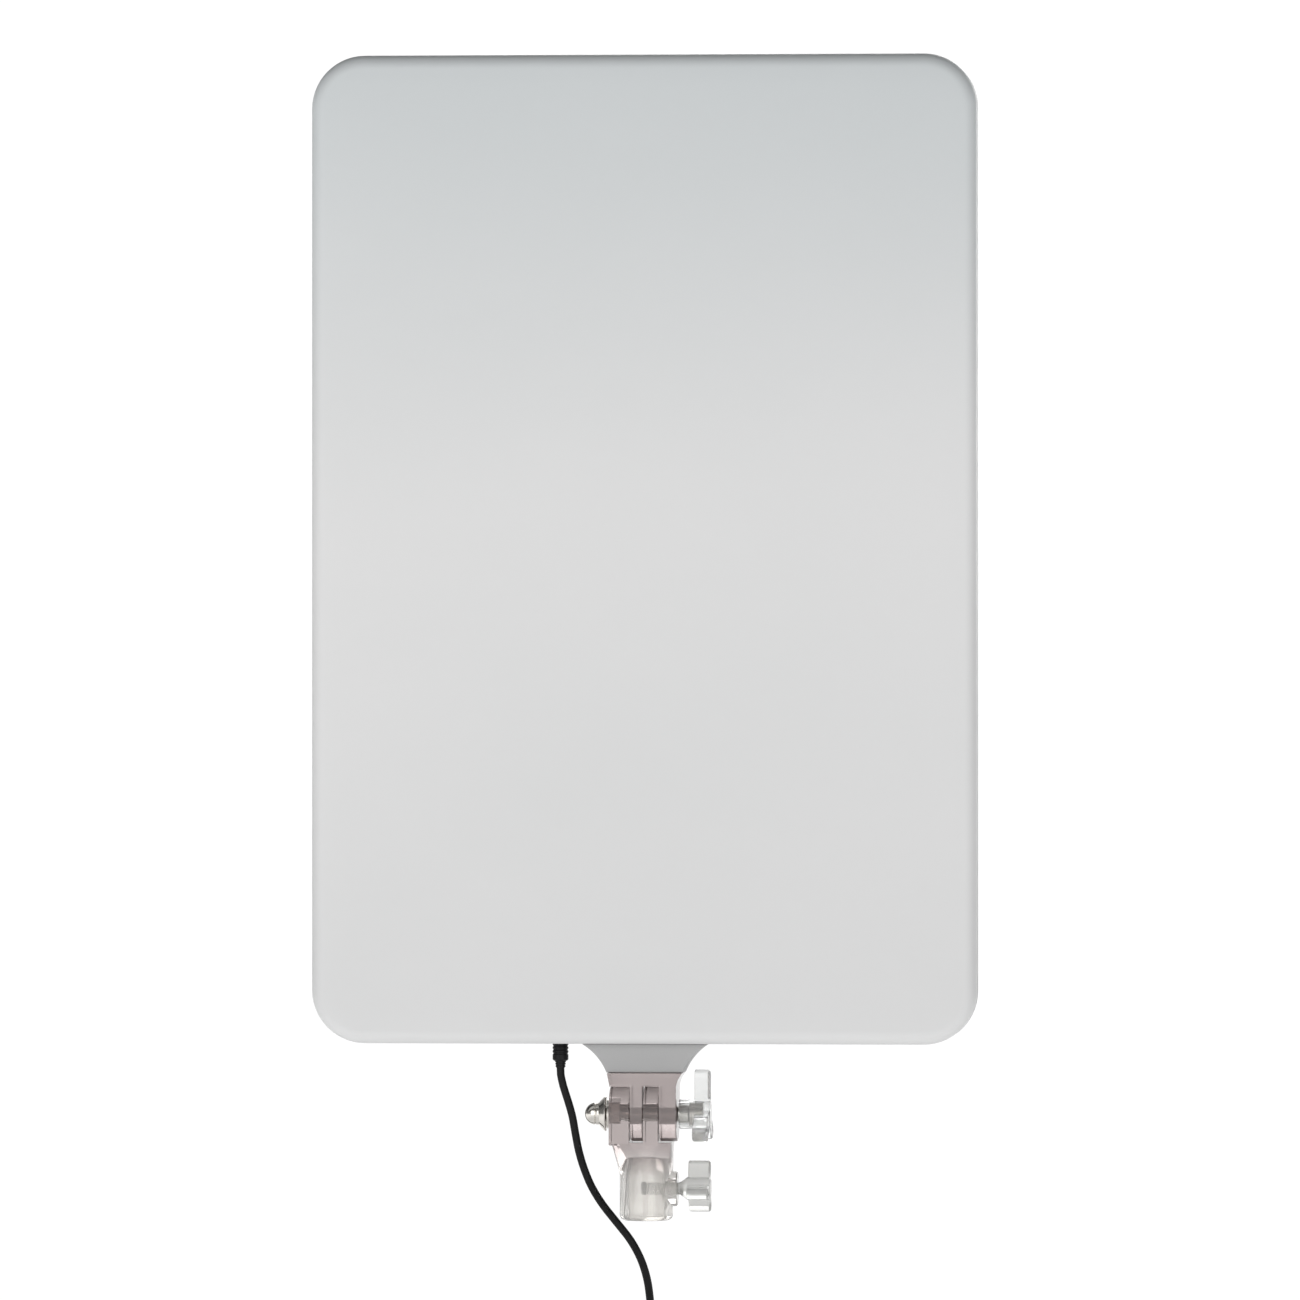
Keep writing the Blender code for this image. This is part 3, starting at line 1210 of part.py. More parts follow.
def clamp_pad():
    """The pad at the clamp screw's tip, with a blind hole for its nose."""
    high = CLAMP_TIP_X - GAP
    low = high - CLAMP_PAD_THICKNESS
    floor = CLAMP_TIP_X - CLAMP_NOSE_LENGTH - GAP
    bore = CLAMP_NOSE_RADIUS + GAP
    profile = [
        (0.0, floor),
        (bore, floor),
        (bore, high),
        (CLAMP_SCREW_RADIUS, high),
        (CLAMP_SCREW_RADIUS, low),
        (0.0, low),
    ]
    as_part(turned("clamp_pad", profile, (0, 0, CLAMP_Z), "X", METAL_STEPS), grey_plastic)


# ---------------------------------------------------------------- power lead
def dc_plug():
    """The moulded plug under the housing, with a short taper down to the cord."""
    foot = PLUG_TOP_Z - PLUG_LENGTH
    profile = [
        (0.0, PLUG_TOP_Z),
        (PLUG_RADIUS - PLUG_EDGE, PLUG_TOP_Z),
        (PLUG_RADIUS, PLUG_TOP_Z - PLUG_EDGE),
        (PLUG_RADIUS, foot + PLUG_EDGE),
        (PLUG_RADIUS - PLUG_EDGE, foot),
        (CORD_RADIUS + PLUG_RELIEF_WALL, foot),
        (CORD_RADIUS + PLUG_RELIEF_END_WALL, foot - PLUG_RELIEF_LENGTH),
        (0.0, foot - PLUG_RELIEF_LENGTH),
    ]
    as_part(turned("dc_plug", profile, (PLUG_X, PLUG_Y, 0), "Z", HOLE_STEPS), black_plastic)
    low = PLUG_TOP_Z + GAP
    barrel = ring_profile(BARREL_BORE_RADIUS, BARREL_RADIUS, low, low + BARREL_LENGTH)
    as_part(turned("dc_plug_barrel", barrel, (PLUG_X, PLUG_Y, 0), "Z", HOLE_STEPS), bright_metal)


def power_cord():
    as_wire(tube("power_cord", smooth_points(CORD_ROUTE, CORD_STEP), CORD_RADIUS, 2), black_plastic)
    tail = [(0.0, HANG_Y, TAIL_TOP_Z), (0.0, HANG_Y, TAIL_BOTTOM_Z)]
    as_wire(tube("cord_tail", smooth_points(tail, CORD_STEP), CORD_RADIUS, 2), black_plastic)


def cord_coil():
    """The outer shape of the wound lead: a flat ring that stands on edge."""
    inner, outer, half = COIL_INNER_RADIUS, COIL_OUTER_RADIUS, COIL_HALF_DEPTH
    profile = [
        (inner + COIL_EDGE, half),
        (outer - COIL_EDGE, half),
        (outer, half - COIL_EDGE),
        (outer, COIL_EDGE - half),
        (outer - COIL_EDGE, -half),
        (inner + COIL_EDGE, -half),
        (inner, COIL_EDGE - half),
        (inner, half - COIL_EDGE),
        (inner + COIL_EDGE, half),
    ]
    item = turned("cord_coil", profile, (COIL_X, HANG_Y, COIL_Z), "Y", METAL_STEPS)
    as_part(item, black_plastic)


def coil_tie():
    """A strap round the coil where the lead enters and leaves it."""
    half = TIE_WIDTH / 2
    left = COIL_X - COIL_OUTER_RADIUS - TIE_ROOM
    right = COIL_X - math.sqrt(COIL_INNER_RADIUS ** 2 - half ** 2) + TIE_ROOM
    deep = COIL_HALF_DEPTH + TIE_ROOM
    strap = rounded_block(
        "coil_tie", (left - TIE_WALL, HANG_Y - deep - TIE_WALL, COIL_Z - half),
        (right + TIE_WALL, HANG_Y + deep + TIE_WALL, COIL_Z + half),
        TIE_CORNER_RADIUS + TIE_WALL, along=2, steps=EDGE_STEPS,
    )
    cut(strap, rounded_block(
        "tie_room", (left, HANG_Y - deep, COIL_Z - half - OVERSHOOT),
        (right, HANG_Y + deep, COIL_Z + half + OVERSHOOT), TIE_CORNER_RADIUS, along=2, steps=2,
    ))
    as_part(strap, black_plastic)


def adapter():
    """The plug-in power supply with its strain relief and two round pins."""
    relief = [
        (0.0, RELIEF_TOP_Z),
        (CORD_RADIUS + RELIEF_SMALL_WALL, RELIEF_TOP_Z),
        (CORD_RADIUS + RELIEF_LARGE_WALL, RELIEF_TOP_Z - RELIEF_LENGTH),
        (0.0, RELIEF_TOP_Z - RELIEF_LENGTH),
    ]
    as_part(turned("adapter_relief", relief, (0, HANG_Y, 0), "Z", HOLE_STEPS), black_plastic)
    low = (-ADAPTER_WIDTH / 2, HANG_Y - ADAPTER_DEPTH / 2, ADAPTER_BOTTOM_Z)
    high = (ADAPTER_WIDTH / 2, HANG_Y + ADAPTER_DEPTH / 2, ADAPTER_TOP_Z)
    case = rounded_block(
        "adapter_case", low, high, ADAPTER_CORNER_RADIUS,
        rims=[(low[1], ADAPTER_EDGE_RADIUS), (high[1], ADAPTER_EDGE_RADIUS)],
    )
    as_part(case, black_plastic)
    for number, side in ((1, -1), (2, 1)):
        start = (side * ADAPTER_PIN_SPACING / 2, high[1] + GAP, ADAPTER_TOP_Z - ADAPTER_PIN_DROP)
        pin = rod(f"adapter_pin_{number}", ADAPTER_PIN_RADIUS, start, ADAPTER_PIN_LENGTH, "Y",
                  SMALL_STEPS)
        as_part(pin, bright_metal)


# ---------------------------------------------------------------- the whole light
front_diffuser()
rear_cover()
reflector_tray()
led_strips()
led_wires()
control_housing()
control_bezel()
buttons()
indicator_lens()
control_board()
dc_jack()
screws()
upper_knuckle()
stand_bracket()
tilt_bolt()
nut_washer()
acorn_nut()
knob_metal()
tilt_wing_knob()
clamp_wing_screw()
clamp_pad()
dc_plug()
power_cord()
cord_coil()
coil_tie()
adapter()
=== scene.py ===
"""Looks of the LED panel light: a milky panel on a clear tilting knuckle, with its power lead.

Metres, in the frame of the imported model: +Z up, the light shines towards -Y.
"""

import math

import bmesh
import bpy
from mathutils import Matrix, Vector


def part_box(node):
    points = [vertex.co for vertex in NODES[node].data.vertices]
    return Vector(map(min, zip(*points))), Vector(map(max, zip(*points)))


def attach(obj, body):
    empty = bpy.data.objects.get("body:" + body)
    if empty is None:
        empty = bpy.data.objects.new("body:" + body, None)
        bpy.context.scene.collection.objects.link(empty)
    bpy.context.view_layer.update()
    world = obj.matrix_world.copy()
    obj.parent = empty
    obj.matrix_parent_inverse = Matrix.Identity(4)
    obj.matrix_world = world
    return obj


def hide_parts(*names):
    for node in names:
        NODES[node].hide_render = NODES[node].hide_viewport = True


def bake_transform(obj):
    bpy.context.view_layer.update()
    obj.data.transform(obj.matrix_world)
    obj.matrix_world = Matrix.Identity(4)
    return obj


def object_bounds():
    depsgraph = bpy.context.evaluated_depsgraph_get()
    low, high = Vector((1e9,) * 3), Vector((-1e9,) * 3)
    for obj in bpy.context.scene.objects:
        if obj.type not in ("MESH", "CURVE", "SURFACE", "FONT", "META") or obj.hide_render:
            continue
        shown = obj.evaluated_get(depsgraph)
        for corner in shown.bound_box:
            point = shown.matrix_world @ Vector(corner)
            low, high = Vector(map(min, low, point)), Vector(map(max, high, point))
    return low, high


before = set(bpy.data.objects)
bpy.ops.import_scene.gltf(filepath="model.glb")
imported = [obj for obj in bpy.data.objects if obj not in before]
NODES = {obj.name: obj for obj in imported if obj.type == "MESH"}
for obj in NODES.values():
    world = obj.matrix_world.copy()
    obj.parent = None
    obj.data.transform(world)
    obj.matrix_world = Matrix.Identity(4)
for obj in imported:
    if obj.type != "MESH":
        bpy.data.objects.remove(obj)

CAD_BOX = [list(corner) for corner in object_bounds()]
ADD, CUT = "UNION", "DIFFERENCE"
GAP = 0.0003                  # between pieces that lie against each other
PAST = 0.001                  # how far a cutter reaches past what it cuts

# ---------------- camera and stage
CAMERA_TARGET = Vector((0.0016, 0.0, 0.2572))
CAMERA_AZIMUTH = math.radians(4.5)
CAMERA_DISTANCE = 5.0
FRAME_WIDTH = 0.5864          # of the view, where the object stands
SENSOR = 36.0                 # millimetres
SURROUND_STOPS = [            # light from straight below to straight above
    (0.0, (0.10, 0.10, 0.10)),
    (0.30, (0.16, 0.16, 0.16)),
    (0.44, (0.78, 0.78, 0.78)),
    (0.56, (0.80, 0.80, 0.80)),
    (0.72, (0.18, 0.18, 0.18)),
    (1.0, (0.30, 0.30, 0.30)),
]
FLAG_STOPS = [                # share of it from the sides, and from the front or behind
    (0.35, (0.22, 0.22, 0.22)),
    (0.85, (1.0, 1.0, 1.0)),
]
WHITE_STRENGTH = 1.05         # of the surround and the floor's far part, as the camera sees it
FLOOR_RADIUS = 6.0
FLOOR_SIDES = 96
FLOOR_FADE = (0.25, 0.85)     # from the object to where the floor is white
LIGHT_TARGET = Vector((0.0, 0.0, 0.22))
LIGHTS = [                    # name, place, size, watts
    ("key", (-1.1, -1.9, 0.5), (1.4, 1.6), 12.0),
    ("fill", (1.0, -1.9, 0.2), (1.2, 1.6), 8.0),
    ("back", (0.5, 1.8, 1.0), (1.6, 1.6), 16.0),
]

# ---------------- power lead
CORD_RADIUS = 0.0018
CORD_ROUTE = [
    (-0.0393, 0.0045, 0.0760), (-0.0393, 0.0045, 0.0681), (-0.0392, 0.0045, 0.0655),
    (-0.0381, 0.0046, 0.0604), (-0.0361, 0.0049, 0.0540), (-0.0341, 0.0054, 0.0469),
    (-0.0327, 0.0061, 0.0388), (-0.0312, 0.0071, 0.0307), (-0.0289, 0.0085, 0.0226),
    (-0.0256, 0.0102, 0.0144), (-0.0208, 0.0122, 0.0063), (-0.0146, 0.0142, -0.0018),
    (-0.0085, 0.0162, -0.0099), (-0.0041, 0.0188, -0.0185), (-0.0015, 0.0217, -0.0275),
    (-0.0004, 0.0247, -0.0365), (0.0, 0.0275, -0.0455), (0.0, 0.0294, -0.0535),
    (0.0, 0.0300, -0.0600),
]
COIL_ROWS = 4
COIL_TURN_POINTS = 40
CORD_RING_GAP = 0.0030
CORD_SIDES = 14
CORD_INSIDE_ADAPTER = 0.016   # the lead runs on through the relief to its anchor
PIN_METAL = 0.86              # of the pin's radius; the sleeve round its root makes the rest
PIN_SLEEVE = 0.0100

# ---------------- panel and housing
PANEL_CORNER = 0.024
PANEL_EDGE = 0.0062
PANEL_CROWN = 0.0006          # how much the front's middle stands proud of its edge
CROWN_REACH = 0.070           # from the edge in to where the front is flat
PANEL_WALL = 0.0022
BACK_EDGE = 0.0032
LIP_STEP = 0.0007             # the groove where the two shells meet
LIP_HEIGHT = 0.0009
LIP_SLOPE = 0.0002
CORNER_STEPS = 14
ARC_STEPS = 8
VENT_HALF, VENT_HALF_HEIGHT, VENT_ROUND = 0.017, 0.0013, 0.00125
VENT_SIDE, VENT_DROP, VENT_PITCH, VENT_ROWS = 0.060, 0.070, 0.0075, 5
SCREW_HOLE, SCREW_WELL, SCREW_SEAT = 0.00175, 0.0031, 0.0024
COVER_BOSS, HOUSING_POST = 0.0044, 0.0045
SCREWS = {"cover_screw": 6, "housing_screw": 4, "knuckle_screw": 2}
HOUSING_EDGE, HOUSING_TOP_CORNER, HOUSING_LOW_CORNER = 0.0026, 0.012, 0.006
HOLLOW_CORNER = 0.008
NECK_HALF, NECK_ARC, NECK_FOOT_ANGLE, NECK_END_ANGLE = 0.0173, 0.026, 158.0, 118.0
BUTTON_HOLE, LENS_HOLE, PLUG_HOLE = 0.0048, 0.0019, 0.00335
BUTTON_RADIUS, BUTTON_RIM, FLANGE_Y, FLANGE_RADIUS = 0.0045, 0.0007, 0.0095, 0.0054
BUTTON_BODIES = {
    "button_power": "power_button",
    "button_dimmer": "dimmer_button",
    "button_brighter": "brighter_button",
    "button_colour": "colour_button",
}

# ---------------- knuckle, bolt and knobs
TILT_Z = 0.048
TILT_AXIS = (0.0, 0.0, TILT_Z)
CLAMP_Z = 0.0144
CLAMP_AXIS = (0.0, 0.0, CLAMP_Z)
BOLT_RADIUS, BOLT_END, BOLT_EASE = 0.0030, 0.0024, 0.0004
BOLT_HOLE = 0.0033            # in every piece that the bolt or the clamp screw passes
BORE_SIDES = 40
FINGER_GAP = 0.00025          # from the fingers' round ends to the web or shoulder they face
HEAD_FINGERS = ((-0.0067, -0.0010), (0.0064, 0.0142))
BASE_FINGERS = ((-0.0162, -0.0070), (-0.0007, 0.0061))
SOCKET_RADIUS, SOCKET_FOOT, SOCKET_SIDES = 0.0121, 0.0028, 64
BARREL_TOP, SHOULDER_HALF, SHOULDER_SQUARE = 0.0205, 0.0154, 0.78
SPIGOT_BORE, SPIGOT_DEPTH, MOUTH_RADIUS = 0.0082, 0.0287, 0.0094
BOSS_RADIUS, BOSS_START, CLAMP_HOLE_START = 0.0080, 0.0087, 0.0041
THREAD_PITCH = 0.001
THREAD_DEPTH = 0.00042
THREAD_SAMPLES = 6            # rings for each turn of the thread
THREAD_SIDES = 24


# ---------------- mesh helpers
def piece(name, build, body, finish, stands_for=(), sharp=32.0, flat_faces=True):
    """A finished mesh: its faces point out, and it rides, has a finish and replaces nodes."""
    item = as_shape(name, build)
    mesh = item.data
    mesh.shade_smooth()
    mesh.set_sharp_from_angle(angle=math.radians(sharp))
    mesh.materials.append(finish)
    if flat_faces:
        item.modifiers.new("shading", "WEIGHTED_NORMAL").keep_sharp = True
    if body:
        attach(item, body)
    if stands_for:
        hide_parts(*stands_for)
    return item


def as_shape(name, build):
    """The bmesh as an object with its faces pointing out."""
    bmesh.ops.recalc_face_normals(build, faces=build.faces)
    mesh = bpy.data.meshes.new(name)
    build.to_mesh(mesh)
    build.free()
    return linked(name, mesh)


def linked(name, data):
    """An object in the scene."""
    item = bpy.data.objects.new(name, data)
    bpy.context.scene.collection.objects.link(item)
    return item


def add_ring(build, points):
    return [build.verts.new(point) for point in points]


def bridge(build, lower, upper):
    """Quads between two rings of as many points, or a fan to a ring of one point."""
    count = max(len(lower), len(upper))
    for i in range(count):
        after = (i + 1) % count
        if len(lower) == 1:
            build.faces.new((lower[0], upper[after], upper[i]))
        elif len(upper) == 1:
            build.faces.new((lower[i], lower[after], upper[0]))
        else:
            build.faces.new((lower[i], lower[after], upper[after], upper[i]))


def skin(build, rings, closed=False):
    """A surface through rings; open ends that are not points get a face."""
    for lower, upper in zip(rings, rings[1:]):
        bridge(build, lower, upper)
    if closed:
        bridge(build, rings[-1], rings[0])
        return
    for ring in (rings[0], rings[-1]):
        if len(ring) > 2:
            build.faces.new(ring)


def arc(centre, radius, start, end, steps):
    """Points of an arc between two angles in degrees."""
    angles = [math.radians(start + (end - start) * i / steps) for i in range(steps + 1)]
    return [
        (centre[0] + radius * math.cos(a), centre[1] + radius * math.sin(a)) for a in angles
    ]


def circle(build, axis, radius, height, centre, sides):
    """A ring about an axis through a centre; a ring with no radius is one vertex."""
    points = []
    for i in range(sides if radius else 1):
        angle = math.tau * i / sides
        u, v = radius * math.cos(angle), radius * math.sin(angle)
        x, y, z = {"X": (height, u, v), "Y": (u, height, v), "Z": (u, v, height)}[axis]
        points.append((centre[0] + x, centre[1] + y, centre[2] + z))
    return add_ring(build, points)


def turned(profile, centre, axis, sides=48):
    """A new body: a profile of (radius, height) about an axis; a ring's profile is closed."""
    build = bmesh.new()
    closed = profile[0] == profile[-1]
    skin(build, [
        circle(build, axis, radius, height, centre, sides)
        for radius, height in (profile[:-1] if closed else profile)
    ], closed)
    return build


def notch(radius, level, depth, offsets):
    """Profile points of a groove that is a depth below a radius."""
    return [
        (radius - sunk, level + step)
        for sunk, step in zip((0.0, depth, depth, 0.0), offsets)
    ]


def stacked(outline, layers, to_point):
    """A new body: a closed outline carried through layers of (inset, level)."""
    build = bmesh.new()
    skin(build, [
        add_ring(build, [to_point(u, v, level) for u, v in inset_outline(outline, inset)])
        for inset, level in layers
    ])
    return build


def inset_outline(outline, inset):
    """The outline moved inwards along its corners' normals; it runs counter-clockwise."""
    count = len(outline)
    moved = []
    for i, (u, v) in enumerate(outline):
        before, after = outline[i - 1], outline[(i + 1) % count]
        first = Vector((u - before[0], v - before[1])).normalized()
        second = Vector((after[0] - u, after[1] - v)).normalized()
        normal = Vector((-(first.y + second.y), first.x + second.x))
        normal = normal.normalized() if normal.length > 1e-6 else Vector((-first.y, first.x))
        scale = inset / max(0.5, normal.dot(Vector((-first.y, first.x))))
        moved.append((u + normal.x * scale, v + normal.y * scale))
    return moved


def rounded(half_u, half_v, radius, steps, centre=(0.0, 0.0)):
    """A rounded rectangle, counter-clockwise."""
    points = []
    for su, sv, start in ((1, -1, -90), (1, 1, 0), (-1, 1, 90), (-1, -1, 180)):
        corner = (centre[0] + su * (half_u - radius), centre[1] + sv * (half_v - radius))
        points += arc(corner, radius, start, start + 90, steps)
    return points


def node_face(name, radius, steps, grow=0.0):
    """The rounded outline of a node's box, seen along Y."""
    low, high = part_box(name)
    middle = (low + high) / 2
    return rounded((high.x - low.x) / 2 + grow, (high.z - low.z) / 2 + grow, radius, steps,
                   (middle.x, middle.z))


def rim(radius, level, steps, side=1):
    """Layers round an edge to a level, which is on its + or - side."""
    return [
        (radius * (1 - math.cos(a)), level - side * radius * (1 - math.sin(a)))
        for a in (math.radians(90 * i / steps) for i in range(steps + 1))
    ]


def edge_layers(low, high, radius, steps=4, foot=True, head=True):
    """Layers between two levels, with a rounded rim at foot and head."""
    lower = rim(radius, low, steps, -1)[::-1] if foot else [(0.0, low)]
    return lower + (rim(radius, high, steps) if head else [(0.0, high)])


def facing_x(u, v, level):
    return (level, u, v)


def facing_y(u, v, level):
    return (u, level, v)


def facing_z(u, v, level):
    return (u, v, level)


def slab(outline, low, high, radius, to_point):
    """A new body: an outline between two levels, with rounded rims."""
    return stacked(outline, edge_layers(low, high, radius), to_point)


def rod(radius, low, high, centre, axis, sides=32):
    """A new body: a plain cylinder."""
    return turned([(0.0, low), (radius, low), (radius, high), (0.0, high)], centre, axis, sides)


def rod_at(name, radius, low, high, sides):
    """A rod along Y through a node's middle."""
    spot = node_middle(name)
    return rod(radius, low, high, (spot.x, 0.0, spot.z), "Y", sides)


def combined(base, steps):
    """The bmesh of a base shape after (operation, bmesh) steps; the shapes are removed."""
    item = as_shape("shape", base)
    others = [as_shape("tool", build) for _, build in steps]
    for (operation, _), other in zip(steps, others):
        modifier = item.modifiers.new("boolean", "BOOLEAN")
        modifier.operation = operation
        modifier.object = other
    bpy.context.view_layer.update()
    graph = bpy.context.evaluated_depsgraph_get()
    result = bmesh.new()
    result.from_mesh(bpy.data.meshes.new_from_object(item.evaluated_get(graph)))
    for shape in [item, *others]:
        bpy.data.objects.remove(shape)
    bmesh.ops.remove_doubles(result, verts=result.verts, dist=0.000002)
    return result


def node_middle(name):
    low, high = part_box(name)
    return (low + high) / 2


def numbered(prefix):
    """The names of a group of screws."""
    return [f"{prefix}_{i}" for i in range(1, SCREWS[prefix] + 1)]


# ---------------- materials
def add_node(tree, kind, inputs, **settings):
    """A shader node with settings and inputs."""
    node = tree.nodes.new("ShaderNode" + kind)
    for name, value in settings.items():
        setattr(node, name, value)
    feed(tree, node, inputs)
    return node


def feed(tree, node, inputs):
    """Sets a node's inputs to values, or links them to other nodes' outputs."""
    for name, value in inputs.items():
        if isinstance(value, bpy.types.NodeSocket):
            tree.links.new(value, node.inputs[name])
        else:
            node.inputs[name].default_value = value


def new_material(name):
    """A material with its shader and its object-space coordinates."""
    result = bpy.data.materials.new(name)
    result.use_nodes = True
    tree = result.node_tree
    place = add_node(tree, "TexCoord", {}).outputs["Object"]
    return result, tree, tree.nodes["Principled BSDF"], place


def noise(tree, place, scale, detail=3.0, roughness=0.5, stretch=(1.0, 1.0, 1.0)):
    """Noise at a scale, stretched along the axes."""
    mapping = add_node(tree, "Mapping", {"Scale": stretch, "Vector": place})
    return add_node(tree, "TexNoise", {
        "Scale": scale, "Detail": detail, "Roughness": roughness,
        "Vector": mapping.outputs["Vector"],
    }).outputs["Fac"]


def ramp(tree, value, stops):
    """A colour ramp with (position, colour) stops."""
    node = add_node(tree, "ValToRGB", {"Fac": value})
    elements = node.color_ramp.elements
    while len(elements) < len(stops):
        elements.new(0.5)
    for element, (position, colour) in zip(elements, stops):
        element.position = position
        element.color = (*colour, 1.0)
    return node.outputs["Color"]


def spread(tree, value, low=0.0, high=1.0, span=(0.0, 1.0), kind="LINEAR"):
    """A value's span mapped to a range."""
    return add_node(tree, "MapRange", {
        "Value": value, "From Min": span[0], "From Max": span[1], "To Min": low, "To Max": high,
    }, interpolation_type=kind).outputs["Result"]


def height_share(tree, place, span):
    """How far a point is up a span of heights, from 0 to 1."""
    split = add_node(tree, "SeparateXYZ", {"Vector": place})
    return spread(tree, split.outputs["Z"], span=span, kind="SMOOTHSTEP")


def colour_mix(tree, factor, first, second, blend="MIX"):
    return add_node(tree, "Mix", {"Factor": factor, "A": first, "B": second},
                    data_type="RGBA", blend_type=blend).outputs["Result"]


def bumped(tree, shader, height, strength, distance):
    """Bump from a height."""
    node = add_node(tree, "Bump", {
        "Strength": strength, "Distance": distance, "Height": height,
    })
    feed(tree, shader, {"Normal": node.outputs["Normal"]})


def toned(tree, value, low, high, colour, darker, paler):
    """A colour that goes from a darker to a paler share of itself between two values."""
    return ramp(tree, value, [
        (low, [min(1.0, c * darker) for c in colour]),
        (high, [min(1.0, c * paler) for c in colour]),
    ])


def moulded(name, colour, roughness, grain=1400.0, bump=0.25, variation=0.05, specular=0.5):
    """Moulded plastic: fine spark-eroded grain and slow, slight changes of tone."""
    result, tree, shader, place = new_material(name)
    cloud = noise(tree, place, 14.0, 4.0)
    fine = noise(tree, place, grain, 2.0)
    feed(tree, shader, {
        "Base Color": toned(tree, cloud, 0.30, 0.70, colour, 1.0 - variation, 1.0 + variation),
        "Roughness": spread(tree, fine, roughness * 0.85, roughness * 1.15),
        "Specular IOR Level": specular,
    })
    bumped(tree, shader, fine, bump, 0.00005)
    return result


def opal(name):
    """Milky diffuser: satin plastic that scatters light inside, with painted shade that makes
    it darker and cooler towards its top.
    """
    result, tree, shader, place = new_material(name)
    cloud = noise(tree, place, 5.0, 5.0, stretch=(1.0, 1.0, 1.4))
    # Painted shade: the front goes darker and a little cooler towards its top, where less light
    # falls on it.
    painted_top_shade = ramp(tree, height_share(tree, place, (0.30, 0.56)), [
        (0.0, (0.775, 0.775, 0.775)), (1.0, (0.620, 0.650, 0.660))
    ])
    tone = ramp(tree, cloud, [(0.35, (0.975, 0.98, 0.98)), (0.65, (1.0, 1.0, 1.0))])
    fine = noise(tree, place, 2600.0, 2.0)
    feed(tree, shader, {
        "Base Color": colour_mix(tree, 1.0, painted_top_shade, tone, "MULTIPLY"),
        "Roughness": spread(tree, fine, 0.38, 0.50),
        "Specular IOR Level": 0.35,
        "Subsurface Weight": 0.25,
        "Subsurface Radius": (0.004, 0.004, 0.004),
    })
    bumped(tree, shader, fine, 0.12, 0.00003)
    return result


def clear(name, tint, haze, roughness, upper=None, span=(0.0, 1.0)):
    """Clear moulded plastic: slightly hazy, with flow marks in its surface.

    An upper tint takes over between two heights, where the plastic is thicker.
    """
    result, tree, shader, place = new_material(name)
    flow = noise(tree, place, 90.0, 3.0, stretch=(1.0, 1.0, 0.35))
    tone = toned(tree, flow, 0.30, 0.70, tint, 0.94, 1.04)
    if upper:
        high = toned(tree, flow, 0.30, 0.70, upper, 0.94, 1.04)
        tone = colour_mix(tree, height_share(tree, place, span), tone, high)
    feed(tree, shader, {
        "Base Color": tone,
        "Roughness": spread(tree, flow, roughness * 0.6, roughness * 1.5),
        "Transmission Weight": 1.0 - haze,
        "IOR": 1.45,
    })
    bumped(tree, shader, noise(tree, place, 320.0, 2.0), 0.10, 0.0002)
    return result


def plated(name, colour, roughness=0.14):
    """Bright plating over steel, with fine turned lines and dull spots."""
    result, tree, shader, place = new_material(name)
    spots = noise(tree, place, 160.0, 4.0, 0.6)
    lines = noise(tree, place, 900.0, 2.0, stretch=(6.0, 1.0, 1.0))
    feed(tree, shader, {
        "Base Color": toned(tree, spots, 0.35, 0.60, colour, 0.86, 1.0),
        "Roughness": spread(tree, lines, roughness * 0.7, roughness * 1.8),
        "Metallic": 1.0,
    })
    bumped(tree, shader, lines, 0.06, 0.00004)
    return result


def jacket(name):
    """Soft black cable jacket with a faint sheen and long drawing marks."""
    result, tree, shader, place = new_material(name)
    marks = noise(tree, place, 700.0, 3.0, stretch=(1.0, 1.0, 0.15))
    feed(tree, shader, {
        "Base Color": ramp(tree, marks, [
            (0.3, (0.006, 0.006, 0.006)), (0.7, (0.013, 0.013, 0.013))
        ]),
        "Roughness": spread(tree, marks, 0.38, 0.55),
        "Specular IOR Level": 0.16,
    })
    bumped(tree, shader, marks, 0.15, 0.00005)
    return result


def circuit(name):
    """Green board with lighter copper areas under the mask."""
    result, tree, shader, place = new_material(name)
    areas = add_node(tree, "TexVoronoi", {"Scale": 220.0, "Vector": place},
                     distance="CHEBYCHEV").outputs["Distance"]
    feed(tree, shader, {
        "Base Color": ramp(tree, areas, [
            (0.30, (0.020, 0.130, 0.060)), (0.42, (0.040, 0.230, 0.100))
        ]),
        "Roughness": 0.35,
    })
    bumped(tree, shader, areas, 0.2, 0.00005)
    return result


OPAL = opal("opal_front")
SHELL = moulded("rear_shell", (0.58, 0.59, 0.59), 0.5, bump=0.4, variation=0.025)
# The housing's pale shell colour darkened with painted shade, as for its neck lying in shadow
# under the panel.
SHELL_WITH_PAINTED_SHADE = moulded("grey_shell", (0.43, 0.43, 0.43), 0.48, bump=0.35, specular=0.22)
KNUCKLE_CLEAR = clear("knuckle_clear", (0.56, 0.49, 0.48), 0.34, 0.09)
SOCKET_CLEAR = clear("socket_clear", (0.96, 0.94, 0.91), 0.24, 0.07, (0.55, 0.485, 0.475),
                     (0.017, 0.036))
KNOB_CLEAR = clear("knob_clear", (0.97, 0.98, 0.97), 0.14, 0.10)
CLAMP_CLEAR = clear("clamp_clear", (0.80, 0.80, 0.78), 0.32, 0.16)
METAL = plated("bright_plating", (0.83, 0.80, 0.75))
SCREW_METAL = plated("screw_plating", (0.62, 0.62, 0.63), 0.24)
DARK = moulded("dark_plastic", (0.008, 0.008, 0.009), 0.42, variation=0.2, specular=0.2)
BUTTON = moulded("button_plastic", (0.20, 0.20, 0.205), 0.36, grain=1800.0)
MARK = moulded("button_mark", (0.72, 0.72, 0.72), 0.45)
LENS = clear("lens_frosted", (0.85, 0.92, 0.86), 0.35, 0.30)
SHEET = moulded("reflector_white", (0.86, 0.86, 0.85), 0.55, variation=0.02)
STRIP = moulded("strip_mask", (0.82, 0.82, 0.78), 0.38, variation=0.04)
BOARD = circuit("circuit_board")
WIRE = moulded("wire_jacket", (0.45, 0.05, 0.04), 0.40, variation=0.15)
JACKET = jacket("cord_jacket")
